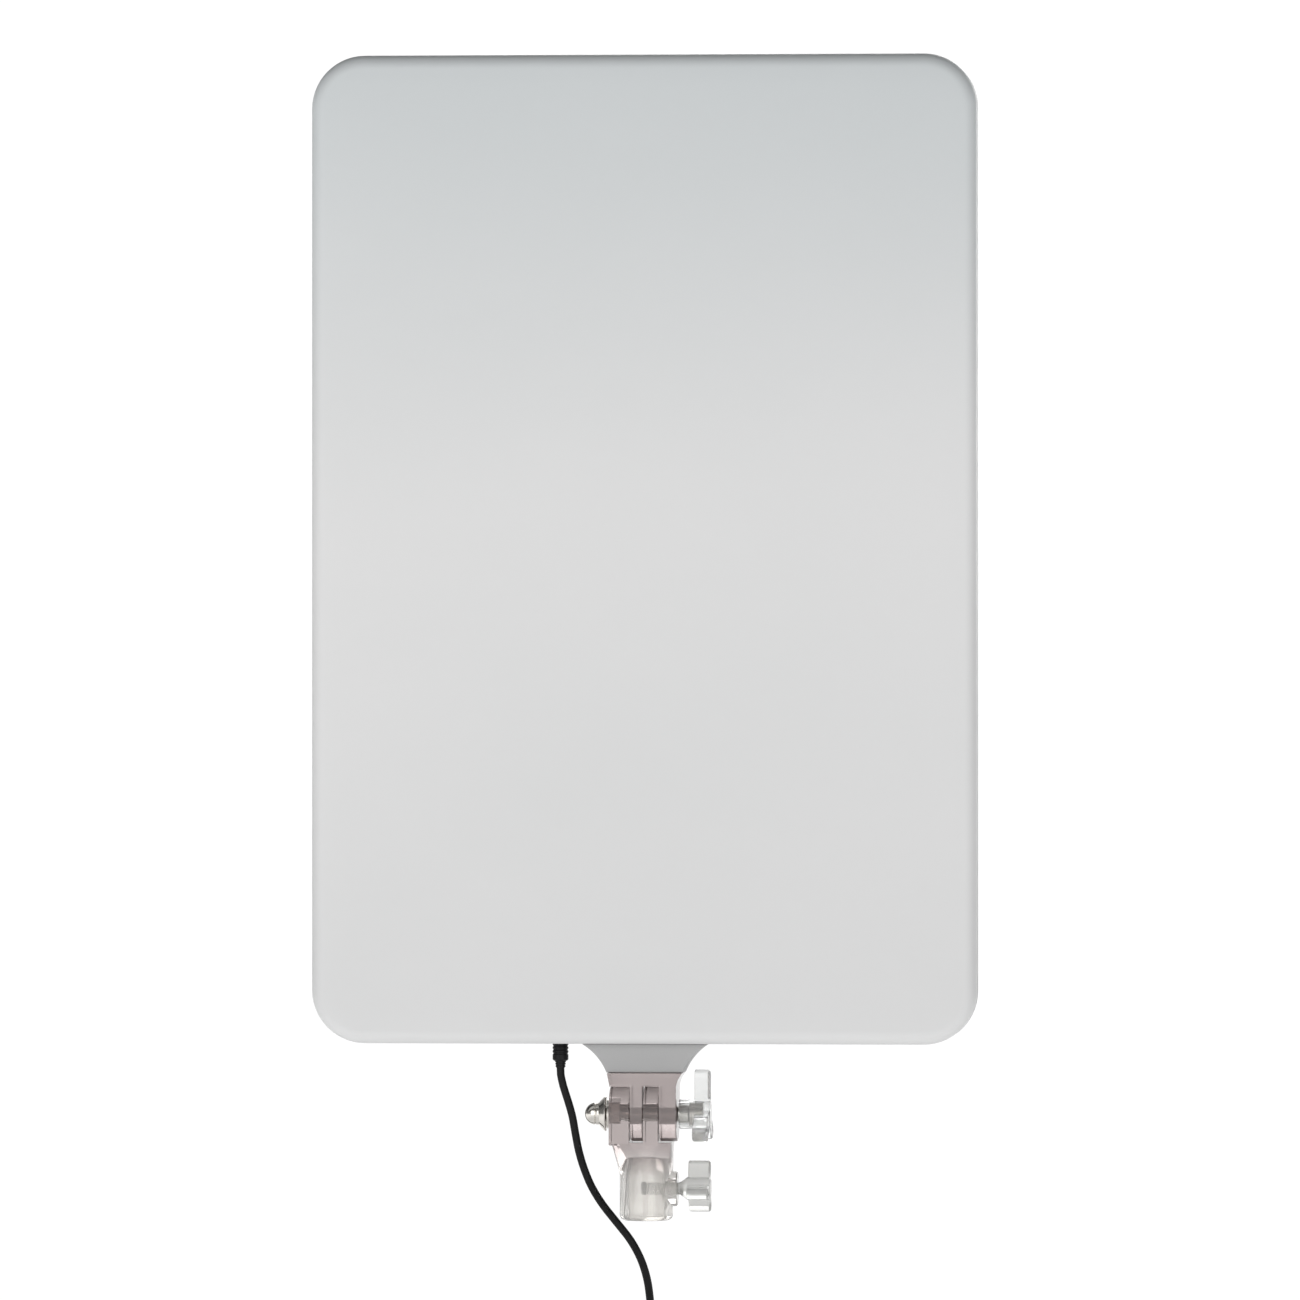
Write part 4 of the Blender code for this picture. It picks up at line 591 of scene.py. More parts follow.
ADAPTER = moulded("adapter_plastic", (0.020, 0.020, 0.021), 0.48, grain=1100.0, bump=0.5,
                  variation=0.2)


# ---------------- power lead
def smooth_line(route, step):
    """Points about a step apart on a smooth curve through a route."""
    line = [Vector(point) for point in route]
    line = [2 * line[0] - line[1]] + line + [2 * line[-1] - line[-2]]
    points = []
    for a, b, c, d in zip(line, line[1:], line[2:], line[3:]):
        count = max(1, round((c - b).length / step))
        for i in range(count):
            t = i / count
            points.append(0.5 * (
                2 * b + (c - a) * t
                + (2 * a - 5 * b + 4 * c - d) * t ** 2
                + (3 * b - a - 3 * c + d) * t ** 3
            ))
    points.append(line[-2])
    return points


def coil_points(centre, outer, pitch):
    """The lead's turns: in through the rows of one column, and out through the other's.

    It starts and ends on the outer row at the ring's left, running down.
    """
    turns = 2 * COIL_ROWS
    points = []
    for i in range(turns * COIL_TURN_POINTS + 1):
        turn = i / COIL_TURN_POINTS
        angle = math.pi + math.tau * turn
        row = min(turn, turns - turn)
        radius = outer - pitch * max(0.0, min(COIL_ROWS - 1.0, row - 0.5))
        side = math.tanh((turn - COIL_ROWS) * 6.0)
        end = min(1.0, row * 4.0)
        points.append(Vector((
            centre.x + radius * math.cos(angle),
            centre.y + side * end * pitch / 2,
            centre.z + radius * math.sin(angle),
        )))
    return points


def tube(points, radius, sides):
    """A new body: a round tube along points, with faces on its ends."""
    build = bmesh.new()
    normal = (points[1] - points[0]).normalized().orthogonal().normalized()
    rings = []
    for i, point in enumerate(points):
        before, after = points[max(0, i - 1)], points[min(len(points) - 1, i + 1)]
        way = (after - before).normalized()
        normal = (normal - way * normal.dot(way)).normalized()
        across = way.cross(normal)
        rings.append(add_ring(build, [
            point + radius * (math.cos(a) * normal + math.sin(a) * across)
            for a in (math.tau * k / sides for k in range(sides))
        ]))
    skin(build, rings)
    return build


def power_lead():
    """The whole lead as one tube: the free stretch, the coil's turns and the tail."""
    low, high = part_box("cord_coil")
    outer = (high.x - low.x) / 2 - CORD_RADIUS
    free = smooth_line(CORD_ROUTE, CORD_RING_GAP)
    turns = coil_points((low + high) / 2, outer, 2 * CORD_RADIUS)
    hang = node_middle("cord_tail")
    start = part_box("cord_tail")[1].z
    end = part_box("adapter_case")[1].z - CORD_INSIDE_ADAPTER
    count = round((start - end) / CORD_RING_GAP)
    tail = [
        Vector((hang.x, hang.y, start + (end - start) * i / count)) for i in range(count + 1)
    ]
    points = free + turns + tail
    lead = piece("power_lead", tube(points, CORD_RADIUS, CORD_SIDES), None,
                 JACKET, ("power_cord", "cord_coil", "cord_tail"), sharp=60.0)
    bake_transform(lead)
    with_pieces = [
        NODES["dc_plug_barrel"], lead_plug(), lead_tie(), lead_relief(), adapter_body(),
        *adapter_pins(),
    ]


def lead_plug():
    """The moulded plug with finger grooves and a ribbed strain relief."""
    low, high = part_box("dc_plug")
    centre = (low + high) / 2
    radius, foot, edge = (high.x - low.x) / 2, low.z + 0.0032, 0.0006
    profile = [(0.0, high.z)] + arc((radius - edge, high.z - edge), edge, 90, 0, 4)
    for i in range(4):
        profile += notch(radius, high.z - 0.0035 - i * 0.0017, 0.0003,
                         (0.0004, 0.0001, -0.0003, -0.0006))
    profile += [(radius, foot + edge), (radius - edge, foot)]
    for i in range(3):
        z, wide = foot - i * 0.0011, 0.0025 - i * 0.00012
        profile += [(wide, z), (wide, z - 0.0006), (wide - 0.0003, z - 0.0007),
                    (wide - 0.0003, z - 0.0010)]
    profile += [(CORD_RADIUS + 0.0001, low.z), (0.0, low.z)]
    build = turned(profile, (centre.x, centre.y, 0.0), "Z", 36)
    return piece("lead_plug", build, "panel", DARK, ("dc_plug",))


def lead_tie():
    """The hook strap round the coil."""
    low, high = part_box("coil_tie")
    centre = (low + high) / 2
    half_x, half_y = (high.x - low.x) / 2, (high.y - low.y) / 2
    wall, soft = 0.0012, 0.0003
    outer = rounded(half_x, half_y, 0.0021, 6, (centre.x, centre.y))
    inner = rounded(half_x - wall, half_y - wall, 0.0009, 6, (centre.x, centre.y))
    build = bmesh.new()
    skin(build, [
        add_ring(build, [(x, y, z) for x, y in inset_outline(outline, inset)])
        for outline, inset, z in (
            (outer, 0.0, low.z + soft), (outer, 0.0, high.z - soft), (outer, soft, high.z),
            (inner, -soft, high.z), (inner, 0.0, high.z - soft), (inner, 0.0, low.z + soft),
            (inner, -soft, low.z), (outer, soft, low.z),
        )
    ], closed=True)
    return piece("coil_strap", build, "bracket", DARK, ("coil_tie",))


def lead_relief():
    """The adapter's tapered strain relief with its cut rings."""
    low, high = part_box("adapter_relief")
    centre = (low + high) / 2
    large, small, edge, pitch = (high.x - low.x) / 2, CORD_RADIUS + 0.0006, 0.0003, 0.0018
    profile = [(0.0, low.z), (large - edge, low.z), (large, low.z + edge)]
    for i in range(6):
        z = low.z + pitch + i * pitch
        wide = large + (small - large) * (z - low.z) / (high.z - low.z)
        profile += notch(wide, z, 0.0006, (0.0, 0.0001, 0.0007, 0.0008))
    profile += [(small, high.z - edge), (small - edge, high.z), (0.0, high.z)]
    build = turned(profile, (centre.x, centre.y, 0.0), "Z", 32)
    return piece("adapter_boot", build, "bracket", ADAPTER,
                 ("adapter_relief",))


def adapter_body():
    """The plug-in supply: two half shells with a parting groove and a raised pin face."""
    low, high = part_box("adapter_case")
    split = low.y + (high.y - low.y) * 0.55
    groove, step = 0.0004, 0.0008
    layers = edge_layers(low.y, split - groove, 0.0022, 6, head=False)
    layers += [(groove, split - groove), (groove, split + groove), (0.0, split + groove)]
    layers += edge_layers(split + groove, high.y - step, 0.0014, 5, foot=False)[1:]
    layers += [(0.0040, high.y - step), (0.0044, high.y - step / 2), (0.0048, high.y)]
    build = stacked(node_face("adapter_case", 0.006, 10), layers, facing_y)
    return piece("adapter_shell", build, "bracket", ADAPTER,
                 ("adapter_case",))


def adapter_pins():
    """Two round pins, each a metal rod with an insulating sleeve on its root."""
    made = []
    for number in (1, 2):
        low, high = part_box(f"adapter_pin_{number}")
        spot = node_middle(f"adapter_pin_{number}")
        radius, nose = (high.x - low.x) / 2, 0.0010
        profile = [(0.0, low.y), (radius * PIN_METAL, low.y),
                   (radius * PIN_METAL, high.y - nose)]
        profile += [(radius * (PIN_METAL - 0.30 * (1 - math.cos(math.radians(a)))),
                     high.y - nose + nose * math.sin(math.radians(a)))
                    for a in range(15, 91, 15)]
        profile.append((0.0, high.y))
        build = turned(profile, (spot.x, 0.0, spot.z), "Y", 28)
        made.append(piece(f"adapter_contact_{number}", build, "bracket", METAL,
                          (f"adapter_pin_{number}",)))
        inner, end = radius * PIN_METAL + 0.00002, low.y + PIN_SLEEVE
        build = turned([
            (inner, low.y), (radius, low.y), (radius, end - 0.0004), (radius - 0.0002, end),
            (inner, end), (inner, low.y),
        ], (spot.x, 0.0, spot.z), "Y", 28)
        made.append(piece(f"adapter_sleeve_{number}", build, "bracket",
                          ADAPTER))
    return made


# ---------------- camera, light and stage
def make_camera():
    data = bpy.data.cameras.new("camera")
    data.sensor_width = SENSOR
    data.lens = SENSOR * CAMERA_DISTANCE / FRAME_WIDTH
    camera = linked("camera", data)
    back = Vector((math.sin(CAMERA_AZIMUTH), -math.cos(CAMERA_AZIMUTH), 0.0))
    camera.location = CAMERA_TARGET + back * CAMERA_DISTANCE
    camera.rotation_euler = (-back).to_track_quat("-Z", "Y").to_euler()
    bpy.context.scene.camera = camera


def soft_light(name, place, size, power):
    data = bpy.data.lights.new(name, "AREA")
    data.shape = "RECTANGLE"
    data.size, data.size_y = size
    data.energy = power
    light = linked(name, data)
    light.location = place
    light.rotation_euler = (LIGHT_TARGET - Vector(place)).to_track_quat("-Z", "Y").to_euler()


def make_world():
    """A white surround: full white where the camera sees it, and as a light brightest from
    the sides and behind, dimmer from above and dim from below."""
    world = bpy.data.worlds.new("surround")
    bpy.context.scene.world = world
    world.use_nodes = True
    tree = world.node_tree
    tree.nodes.clear()
    seen = add_node(tree, "Background", {
        "Color": (1.0, 1.0, 1.0, 1.0), "Strength": WHITE_STRENGTH,
    })
    place = add_node(tree, "TexCoord", {}).outputs["Generated"]
    split = add_node(tree, "SeparateXYZ", {"Vector": place})
    tone = ramp(tree, spread(tree, split.outputs["Z"], span=(-1.0, 1.0)), SURROUND_STOPS)
    depth = add_node(tree, "Math", {0: split.outputs["Y"]}, operation="ABSOLUTE")
    flags = ramp(tree, depth.outputs["Value"], FLAG_STOPS)
    lit = add_node(tree, "Background", {
        "Color": colour_mix(tree, 1.0, tone, flags, "MULTIPLY"), "Strength": 1.0,
    })
    path = add_node(tree, "LightPath", {}).outputs["Is Camera Ray"]
    add_node(tree, "OutputWorld", {"Surface": shader_mix(
        tree, path, lit.outputs["Background"], seen.outputs["Background"]
    )})


def shader_mix(tree, factor, first, second):
    return add_node(tree, "MixShader", {
        "Fac": factor, 1: first, 2: second,
    }).outputs["Shader"]


def floor_paint():
    """Pale and dull by the object, white far from it, and see-through from below."""
    result, tree, shader, place = new_material("floor_paint")
    far = add_node(tree, "VectorMath", {0: place}, operation="LENGTH").outputs["Value"]
    fade = spread(tree, far, 0.55, span=FLOOR_FADE, kind="SMOOTHSTEP")
    feed(tree, shader, {
        "Base Color": ramp(tree, noise(tree, place, 40.0), [
            (0.3, (0.86, 0.86, 0.86)), (0.7, (0.89, 0.89, 0.89))
        ]),
        "Roughness": 0.9,
    })
    glow = add_node(tree, "Emission", {"Strength": WHITE_STRENGTH}).outputs["Emission"]
    above = shader_mix(tree, fade, shader.outputs["BSDF"], glow)
    below = add_node(tree, "BsdfTransparent", {}).outputs["BSDF"]
    behind = add_node(tree, "NewGeometry", {}).outputs["Backfacing"]
    feed(tree, tree.nodes["Material Output"], {
        "Surface": shader_mix(tree, behind, above, below)
    })
    return result


def make_floor():
    """A round floor under the object."""
    level = CAD_BOX[0][2] - 0.0005
    build = bmesh.new()
    rings = [
        circle(build, "Z", FLOOR_RADIUS * share, level, (0.0, 0.0, 0.0), FLOOR_SIDES)
        for share in (0.0, 0.1, 0.25, 0.5, 1.0)
    ]
    for lower, upper in zip(rings, rings[1:]):
        bridge(build, upper, lower)
    mesh = bpy.data.meshes.new("floor")
    build.to_mesh(mesh)
    build.free()
    mesh.materials.append(floor_paint())
    floor = linked("floor", mesh)


def make_studio():
    bpy.context.scene.view_settings.view_transform = "Standard"
    make_world()
    make_floor()
    for light in LIGHTS:
        soft_light(*light)


# ---------------- panel
def panel_shell(layers):
    """A new body: the panel's outline through layers of (inset, y), the inside's first."""
    build = bmesh.new()
    rings = []
    for inset, y in layers:
        outline = node_face("front_diffuser", max(PANEL_CORNER - inset, 0.004), CORNER_STEPS,
                            -inset)
        rings.append(add_ring(build, [(x, y, z) for x, z in outline]))
    skin(build, rings)
    return build


def lip(level, side):
    """Layers from a shell's open rim out over the groove at the split."""
    return [
        (PANEL_WALL, level), (LIP_STEP, level), (LIP_STEP, level + side * LIP_HEIGHT),
        (0.0, level + side * (LIP_HEIGHT + LIP_SLOPE)),
    ]


def diffuser_shell():
    """The milky front: a soft outer edge, a faint crown and a lip at the split."""
    low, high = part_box("front_diffuser")
    edge_y = low.y + PANEL_CROWN
    layers = [
        (PANEL_EDGE + CROWN_REACH, low.y + PANEL_WALL), (PANEL_EDGE, edge_y + PANEL_WALL),
        (PANEL_WALL, edge_y + PANEL_EDGE),
    ]
    layers += lip(high.y, -1) + rim(PANEL_EDGE, edge_y, ARC_STEPS, -1)
    for share in (0.12, 0.25, 0.4, 0.6, 0.8, 1.0):
        rise = math.sin(share * math.pi / 2)
        layers.append((PANEL_EDGE + share * CROWN_REACH, edge_y - PANEL_CROWN * rise))
    piece("diffuser_shell", panel_shell(layers), "panel", OPAL,
          ("front_diffuser",), sharp=40.0, flat_faces=False)


def screw_cutter(name, low, seat, high):
    """A cutter for a screw's hole and its head's well with a chamfered mouth."""
    spot, chamfer, top = node_middle(name), 0.0004, high + 0.0006
    return turned([
        (0.0, low), (SCREW_HOLE, low), (SCREW_HOLE, seat), (SCREW_WELL, seat),
        (SCREW_WELL, high - chamfer), (SCREW_WELL + chamfer, high), (SCREW_WELL + 0.0010, top),
        (0.0, top),
    ], (spot.x, 0.0, spot.z), "Y", 28)


def vent_cutters(back):
    """Cutters for the vent slots, with flared mouths."""
    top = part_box("rear_cover")[1].z - VENT_DROP
    flare = 0.0005
    layers = [(0.0, back - PANEL_WALL - PAST), (0.0, back - flare), (-flare, back),
              (-2 * flare, back + flare)]
    return [
        (CUT, stacked(rounded(VENT_HALF, VENT_HALF_HEIGHT, VENT_ROUND, 5,
                              (side * VENT_SIDE, top - i * VENT_PITCH)), layers, facing_y))
        for i in range(VENT_ROWS) for side in (-1, 1)
    ]


def back_shell():
    """The rear cover: rounded back edge, vents, screw wells and a shallow pressed frame."""
    low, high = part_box("rear_cover")
    front, back = low.y, high.y
    inside, ease, press = back - PANEL_WALL, 0.0008, 0.0004
    layers = [(PANEL_WALL + ease, inside), (PANEL_WALL, inside - ease)]
    layers += lip(front, 1) + rim(BACK_EDGE, back, ARC_STEPS)
    layers += [(0.0130, back), (0.0136, back - press), (0.0150, back - press),
               (0.0156, back)]
    steps = [
        (ADD, rod_at(name, COVER_BOSS, front, inside + 0.0002, 24))
        for name in numbered("cover_screw")
    ]
    steps += vent_cutters(back)
    for name in numbered("cover_screw"):
        steps.append((CUT, screw_cutter(name, front - PAST, back - SCREW_SEAT, back)))
    for name in numbered("housing_screw"):
        steps.append((CUT, rod_at(name, SCREW_HOLE, back - 0.004, back + PAST, 24)))
    piece("back_shell", combined(panel_shell(layers), steps), "panel", SHELL,
          ("rear_cover",), sharp=28.0)


# ---------------- housing, neck and controls
def neck_outline(bottom, lower_wall):
    """The right side of the neck, from its foot up in one hollow arc to the lower wall."""
    foot = math.radians(NECK_FOOT_ANGLE)
    centre = (NECK_HALF - NECK_ARC * math.cos(foot), bottom - NECK_ARC * math.sin(foot))
    line = arc(centre, NECK_ARC, NECK_FOOT_ANGLE, NECK_END_ANGLE, 14)
    x, z = line[-1]
    slope = math.radians(NECK_END_ANGLE - 90)
    return line + [(x + (lower_wall - z) / math.tan(slope), lower_wall)]


def housing_outline(low, high, lower_wall):
    half, corner, top = (high.x - low.x) / 2, HOUSING_LOW_CORNER, HOUSING_TOP_CORNER
    right = neck_outline(low.z, lower_wall)
    right += arc((half - corner, lower_wall + corner), corner, -90, 0, 8)
    right += arc((half - top, high.z - top), top, 0, 90, 12)
    return right + [(-x, z) for x, z in reversed(right)]


def control_holes(low, high):
    """Cuts for the four buttons and the indicator."""
    holes = [(CUT, rod_at(name, BUTTON_HOLE, low, high, 40)) for name in BUTTON_BODIES]
    return holes + [(CUT, rod_at("indicator_lens", LENS_HOLE, low, high, 24))]


def rear_housing():
    """The housing that narrows to the neck, with its wells, holes and bezel recess."""
    low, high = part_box("control_housing")
    panel_low, panel_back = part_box("rear_cover")[0].z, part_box("rear_cover")[1].y
    lower_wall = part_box("dc_plug")[1].z + GAP
    half, wall, room_half = (high.x - low.x) / 2, PANEL_WALL, 0.06
    layers = edge_layers(low.y, high.y, 0.0006, 3, head=False)[:-1]
    layers += edge_layers(low.y, high.y, HOUSING_EDGE, 7, foot=False)[1:]
    build = stacked(housing_outline(low, high, lower_wall), layers, facing_y)
    panel_room = rounded(half + 0.004, room_half, 0.0005, 2, (0.0, panel_low - GAP + room_half))
    inside = rounded(half - wall, (high.z - lower_wall) / 2 - wall, HOLLOW_CORNER, 8,
                     (0.0, (lower_wall + high.z) / 2))
    steps = [
        (CUT, slab(panel_room, low.y - 0.004, panel_back + GAP, 0.0002, facing_y)),
        (CUT, slab(inside, panel_back - PAST, high.y - wall, 0.0004, facing_y)),
    ]
    for name in numbered("housing_screw"):
        post = rod_at(name, HOUSING_POST, panel_back + GAP, high.y - wall + GAP, 28)
        steps += [(ADD, post), (CUT, screw_cutter(name, panel_back - PAST, 0.0020, high.y))]
    steps += control_holes(high.y - 0.004, high.y + PAST)
    steps.append((CUT, slab(node_face("control_bezel", 0.0043, 8, GAP),
                            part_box("control_bezel")[0].y - GAP, high.y + 0.002, 0.0001,
                            facing_y)))
    plug = node_middle("dc_plug")
    steps.append((CUT, rod(PLUG_HOLE, lower_wall - PAST, lower_wall + wall + PAST,
                           (plug.x, plug.y, 0.0), "Z")))
    for name in numbered("knuckle_screw"):
        steps.append((CUT, screw_cutter(name, 0.001, high.y - SCREW_SEAT, high.y)))
    steps.append((CUT, slab(rounded(0.0093, 0.0053, 0.0008, 3), low.z - PAST, low.z + 0.0103,
                            0.0002, facing_z)))
    # Its grey finish is painted shade on the pale shell colour.
    piece("rear_housing", combined(build, steps), "panel", SHELL_WITH_PAINTED_SHADE,
          ("control_housing",), sharp=28.0)


def bezel_plate():
    """The thin dark plate round the buttons, with eased edges."""
    low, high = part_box("control_bezel")
    build = slab(node_face("control_bezel", 0.004, 8), low.y, high.y, 0.0002, facing_y)
    plate = combined(build, control_holes(low.y - PAST, high.y + PAST))
    piece("bezel_plate", plate, "panel", DARK, ("control_bezel",))


def button_caps():
    """Dished caps with a rounded rim; each has a plain raised mark."""
    for name, body in BUTTON_BODIES.items():
        low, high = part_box(name)
        spot, top = (low + high) / 2, high.y
        profile = [(0.0, top - 0.0004), (0.0018, top - 0.00034), (0.0030, top - 0.00015)]
        profile += arc((BUTTON_RADIUS - BUTTON_RIM, top - BUTTON_RIM), BUTTON_RIM, 100, 0, 6)
        profile += [(BUTTON_RADIUS, FLANGE_Y), (FLANGE_RADIUS, FLANGE_Y),
                    (FLANGE_RADIUS, FLANGE_Y - 0.0010), (0.0015, FLANGE_Y - 0.0010),
                    (0.0015, low.y), (0.0, low.y)]
        build = turned(profile, (spot.x, 0.0, spot.z), "Y")
        piece(f"{name}_cap", build, body, BUTTON, (name,))
        button_mark(name, body, spot, top - 0.0003)


def button_mark(name, body, spot, level):
    """A raised mark: a minus, a plus, or a ring that is open at its top or its left."""
    low, high, edge = level - 0.0002, level + 0.00015, 0.00005
    bar = rounded(0.0013, 0.00022, 0.0002, 3)
    if name in ("button_dimmer", "button_brighter"):
        build = slab([(spot.x + u, spot.z + v) for u, v in bar], low, high, edge, facing_y)
        if name == "button_brighter":
            upright = [(spot.x - v, spot.z + u) for u, v in bar]
            other = slab(upright, low - 0.00002, high + 0.00001, edge, facing_y)
            build = combined(build, [(ADD, other)])
    else:
        start, end = (120, 420) if name == "button_power" else (-80, 260)
        ring = arc((spot.x, spot.z), 0.0014, start, end, 24)
        ring += list(reversed(arc((spot.x, spot.z), 0.0010, start, end, 24)))
        build = slab(list(reversed(ring)), low, high, 0.00004, facing_y)
    piece(f"{name}_mark", build, body, MARK)


def indicator():
    """The indicator's domed lens, with its flange behind the bezel."""
    low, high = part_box("indicator_lens")
    spot, top, radius, flange = (low + high) / 2, high.y, 0.0016, 0.0024
    profile = [(0.0, top), (0.0006, top - 0.00004), (0.0012, top - 0.00025),
               (radius, top - 0.0007), (radius, FLANGE_Y), (flange, FLANGE_Y), (flange, low.y),
               (0.0, low.y)]
    build = turned(profile, (spot.x, 0.0, spot.z), "Y", 28)
    piece("indicator_dome", build, "panel", LENS, ("indicator_lens",))


def pan_screw(name):
    """A pan-head screw along Y with a cross recess and a threaded shank."""
    low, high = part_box(name)
    spot, seat = (low + high) / 2, high.y - 0.0018
    head, dome, shank, root, pitch = 0.0028, 0.0011, 0.00145, 0.00115, 0.0007
    wide, thin, deep = 0.0015, 0.00035, 0.0010
    profile = [(0.0, high.y)]
    profile += [(head * math.sin(math.radians(a)),
                 high.y - dome * (1 - math.cos(math.radians(a)))) for a in range(15, 91, 15)]
    profile += [(head, seat), (shank, seat)]
    level = seat - 0.0006
    while level - pitch > low.y + 0.0008:
        profile += [(root, level), (shank, level - pitch / 2), (root, level - pitch)]
        level -= pitch
    profile += [(root, low.y + 0.0006), (0.0, low.y)]
    build = turned(profile, (spot.x, 0.0, spot.z), "Y", 24)
    steps = [
        (CUT, slab(rounded(half_u, half_v, 0.0001, 2, (spot.x, spot.z)), high.y - deep,
                   high.y + PAST, 0.00005, facing_y))
        for half_u, half_v in ((wide, thin), (thin, wide))
    ]
    piece(f"{name}_steel", combined(build, steps), "panel", SCREW_METAL,
          (name,))


# ---------------- clear knuckle
def finger(span, far_z, up, radius):
    """A finger: a half round about the tilt axis and a straight root."""
    start, end = (180, 360) if up else (0, 180)
    outline = arc((0.0, TILT_Z), radius, start, end, 36)
    outline += [(outline[-1][0], far_z), (outline[0][0], far_z)]
    return (ADD, slab(outline, span[0], span[1], 0.0005, facing_x))


def bolt_holes(spans):
    return [
        (CUT, rod(BOLT_HOLE, span[0] - PAST, span[1] + PAST, TILT_AXIS, "X", BORE_SIDES))
        for span in spans
    ]


def head_knuckle():
    """The two upper fingers with the web and tenon that hold the neck."""
    low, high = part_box("upper_knuckle")
    radius = high.y
    web_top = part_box("control_housing")[0].z - GAP
    web_low = TILT_Z + radius + FINGER_GAP
    web_right = HEAD_FINGERS[1][1]
    outline = [(-0.0158, web_low), (web_right, web_low), (0.0150, (web_low + web_top) / 2),
               (high.x, web_top), (low.x, web_top)]
    steps = [finger(span, web_low + 0.0015, True, radius) for span in HEAD_FINGERS]
    steps.append((ADD, slab(rounded(0.009, 0.005, 0.0008, 3), web_top - PAST, high.z, 0.0003,
                            facing_z)))
    steps += bolt_holes(HEAD_FINGERS)
    for name in numbered("knuckle_screw"):
        steps.append((CUT, rod_at(name, SCREW_HOLE, -radius, radius, 24)))
    knuckle = combined(slab(outline, -radius, radius, 0.0005, facing_y), steps)
    piece("head_knuckle", knuckle, "panel", KNUCKLE_CLEAR, ("upper_knuckle",))


def socket_body(shoulder_z):
    """A new body: a rounded foot, a straight barrel and a square shoulder."""
    build = bmesh.new()
    rings = [
        circle(build, "Z", reach, z, (0.0, 0.0, 0.0), SOCKET_SIDES)
        for reach, z in arc((SOCKET_RADIUS - SOCKET_FOOT, SOCKET_FOOT), SOCKET_FOOT, -90, 0, 7)
    ]
    for share in (0.0, 0.25, 0.5, 0.75, 0.94, 1.0):
        z = BARREL_TOP + (shoulder_z - BARREL_TOP) * share
        power = 1.0 - SHOULDER_SQUARE * share
        left = SOCKET_RADIUS + (SHOULDER_HALF - SOCKET_RADIUS) * share
        section = []
        for i in range(SOCKET_SIDES):
            turn = math.tau * i / SOCKET_SIDES
            u, v = math.cos(turn), math.sin(turn)
            section.append((
                math.copysign(abs(u) ** power, u) * (SOCKET_RADIUS if u > 0 else left),
                math.copysign(abs(v) ** power, v) * SOCKET_RADIUS, z,
            ))
        rings.append(add_ring(build, section))
    skin(build, rings)
    return build


def base_bracket():
    """The two lower fingers on the socket, with its bore and the clamp screw's boss."""
    _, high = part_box("stand_bracket")
    radius = high.z - TILT_Z
    shoulder_z = TILT_Z - radius - FINGER_GAP
    steps = [finger(span, shoulder_z - 0.0012, False, radius) for span in BASE_FINGERS]
    edge = 0.0005
    steps.append((ADD, turned([
        (0.0, BOSS_START), (BOSS_RADIUS, BOSS_START), (BOSS_RADIUS, high.x - edge),
        (BOSS_RADIUS - edge, high.x), (0.0, high.x),
    ], CLAMP_AXIS, "X")))
    steps += bolt_holes(BASE_FINGERS)
    outer_face = BASE_FINGERS[0][0]
    steps.append((CUT, slab(rounded(0.0043, 0.0043, 0.0004, 3, (0.0, TILT_Z)),
                            outer_face - 0.002, outer_face + 0.0049, 0.0001, facing_x)))
    ease, mouth = 0.0003, 0.0006
    steps.append((CUT, turned([
        (0.0, SPIGOT_DEPTH), (SPIGOT_BORE - ease, SPIGOT_DEPTH),
        (SPIGOT_BORE, SPIGOT_DEPTH - ease), (SPIGOT_BORE, mouth), (MOUTH_RADIUS, -mouth),
        (0.0, -mouth),
    ], (0.0, 0.0, 0.0), "Z", 56)))
    steps.append((CUT, rod(BOLT_HOLE, CLAMP_HOLE_START, high.x + PAST, CLAMP_AXIS, "X",
                           BORE_SIDES)))
    bracket = combined(socket_body(shoulder_z), steps)
    piece("base_bracket", bracket, "bracket", SOCKET_CLEAR, ("stand_bracket",))


# ---------------- tilt bolt and its pieces
def threaded_rings(build, radius, low, high, axis):
    """Rings of a helical thread along X."""
    core = radius - THREAD_DEPTH
    count = round((high - low) / THREAD_PITCH * THREAD_SAMPLES)
    rings = []
    for i in range(count + 1):
        x = low + (high - low) * i / count
        ring = []
        for k in range(THREAD_SIDES):
            phase = (x / THREAD_PITCH + k / THREAD_SIDES) % 1.0
            height = 1.0 - abs(2.0 * phase - 1.0)
            reach = core + (radius - core) * min(1.0, height * 1.25)
            turn = math.tau * k / THREAD_SIDES
            ring.append((x, reach * math.cos(turn), axis[2] + reach * math.sin(turn)))
        rings.append(add_ring(build, ring))
    return rings


def bolt_thread():
    """The tilt bolt: a threaded rod with eased ends, and the square that stops its turning."""
    low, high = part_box("tilt_bolt")
    build = bmesh.new()
    rings = [circle(build, "X", BOLT_END, low.x, TILT_AXIS, THREAD_SIDES)]
    rings += threaded_rings(build, BOLT_RADIUS, low.x + BOLT_EASE, high.x - BOLT_EASE,
                            TILT_AXIS)
    rings.append(circle(build, "X", BOLT_END, high.x, TILT_AXIS, THREAD_SIDES))
    skin(build, rings)
    square = slab(rounded(0.004, 0.004, 0.0006, 3, (0.0, TILT_Z)), -0.0159, -0.0116, 0.0004,
                  facing_x)
    piece("bolt_thread", combined(build, [(ADD, square)]), "bracket", METAL,
          ("tilt_bolt",))


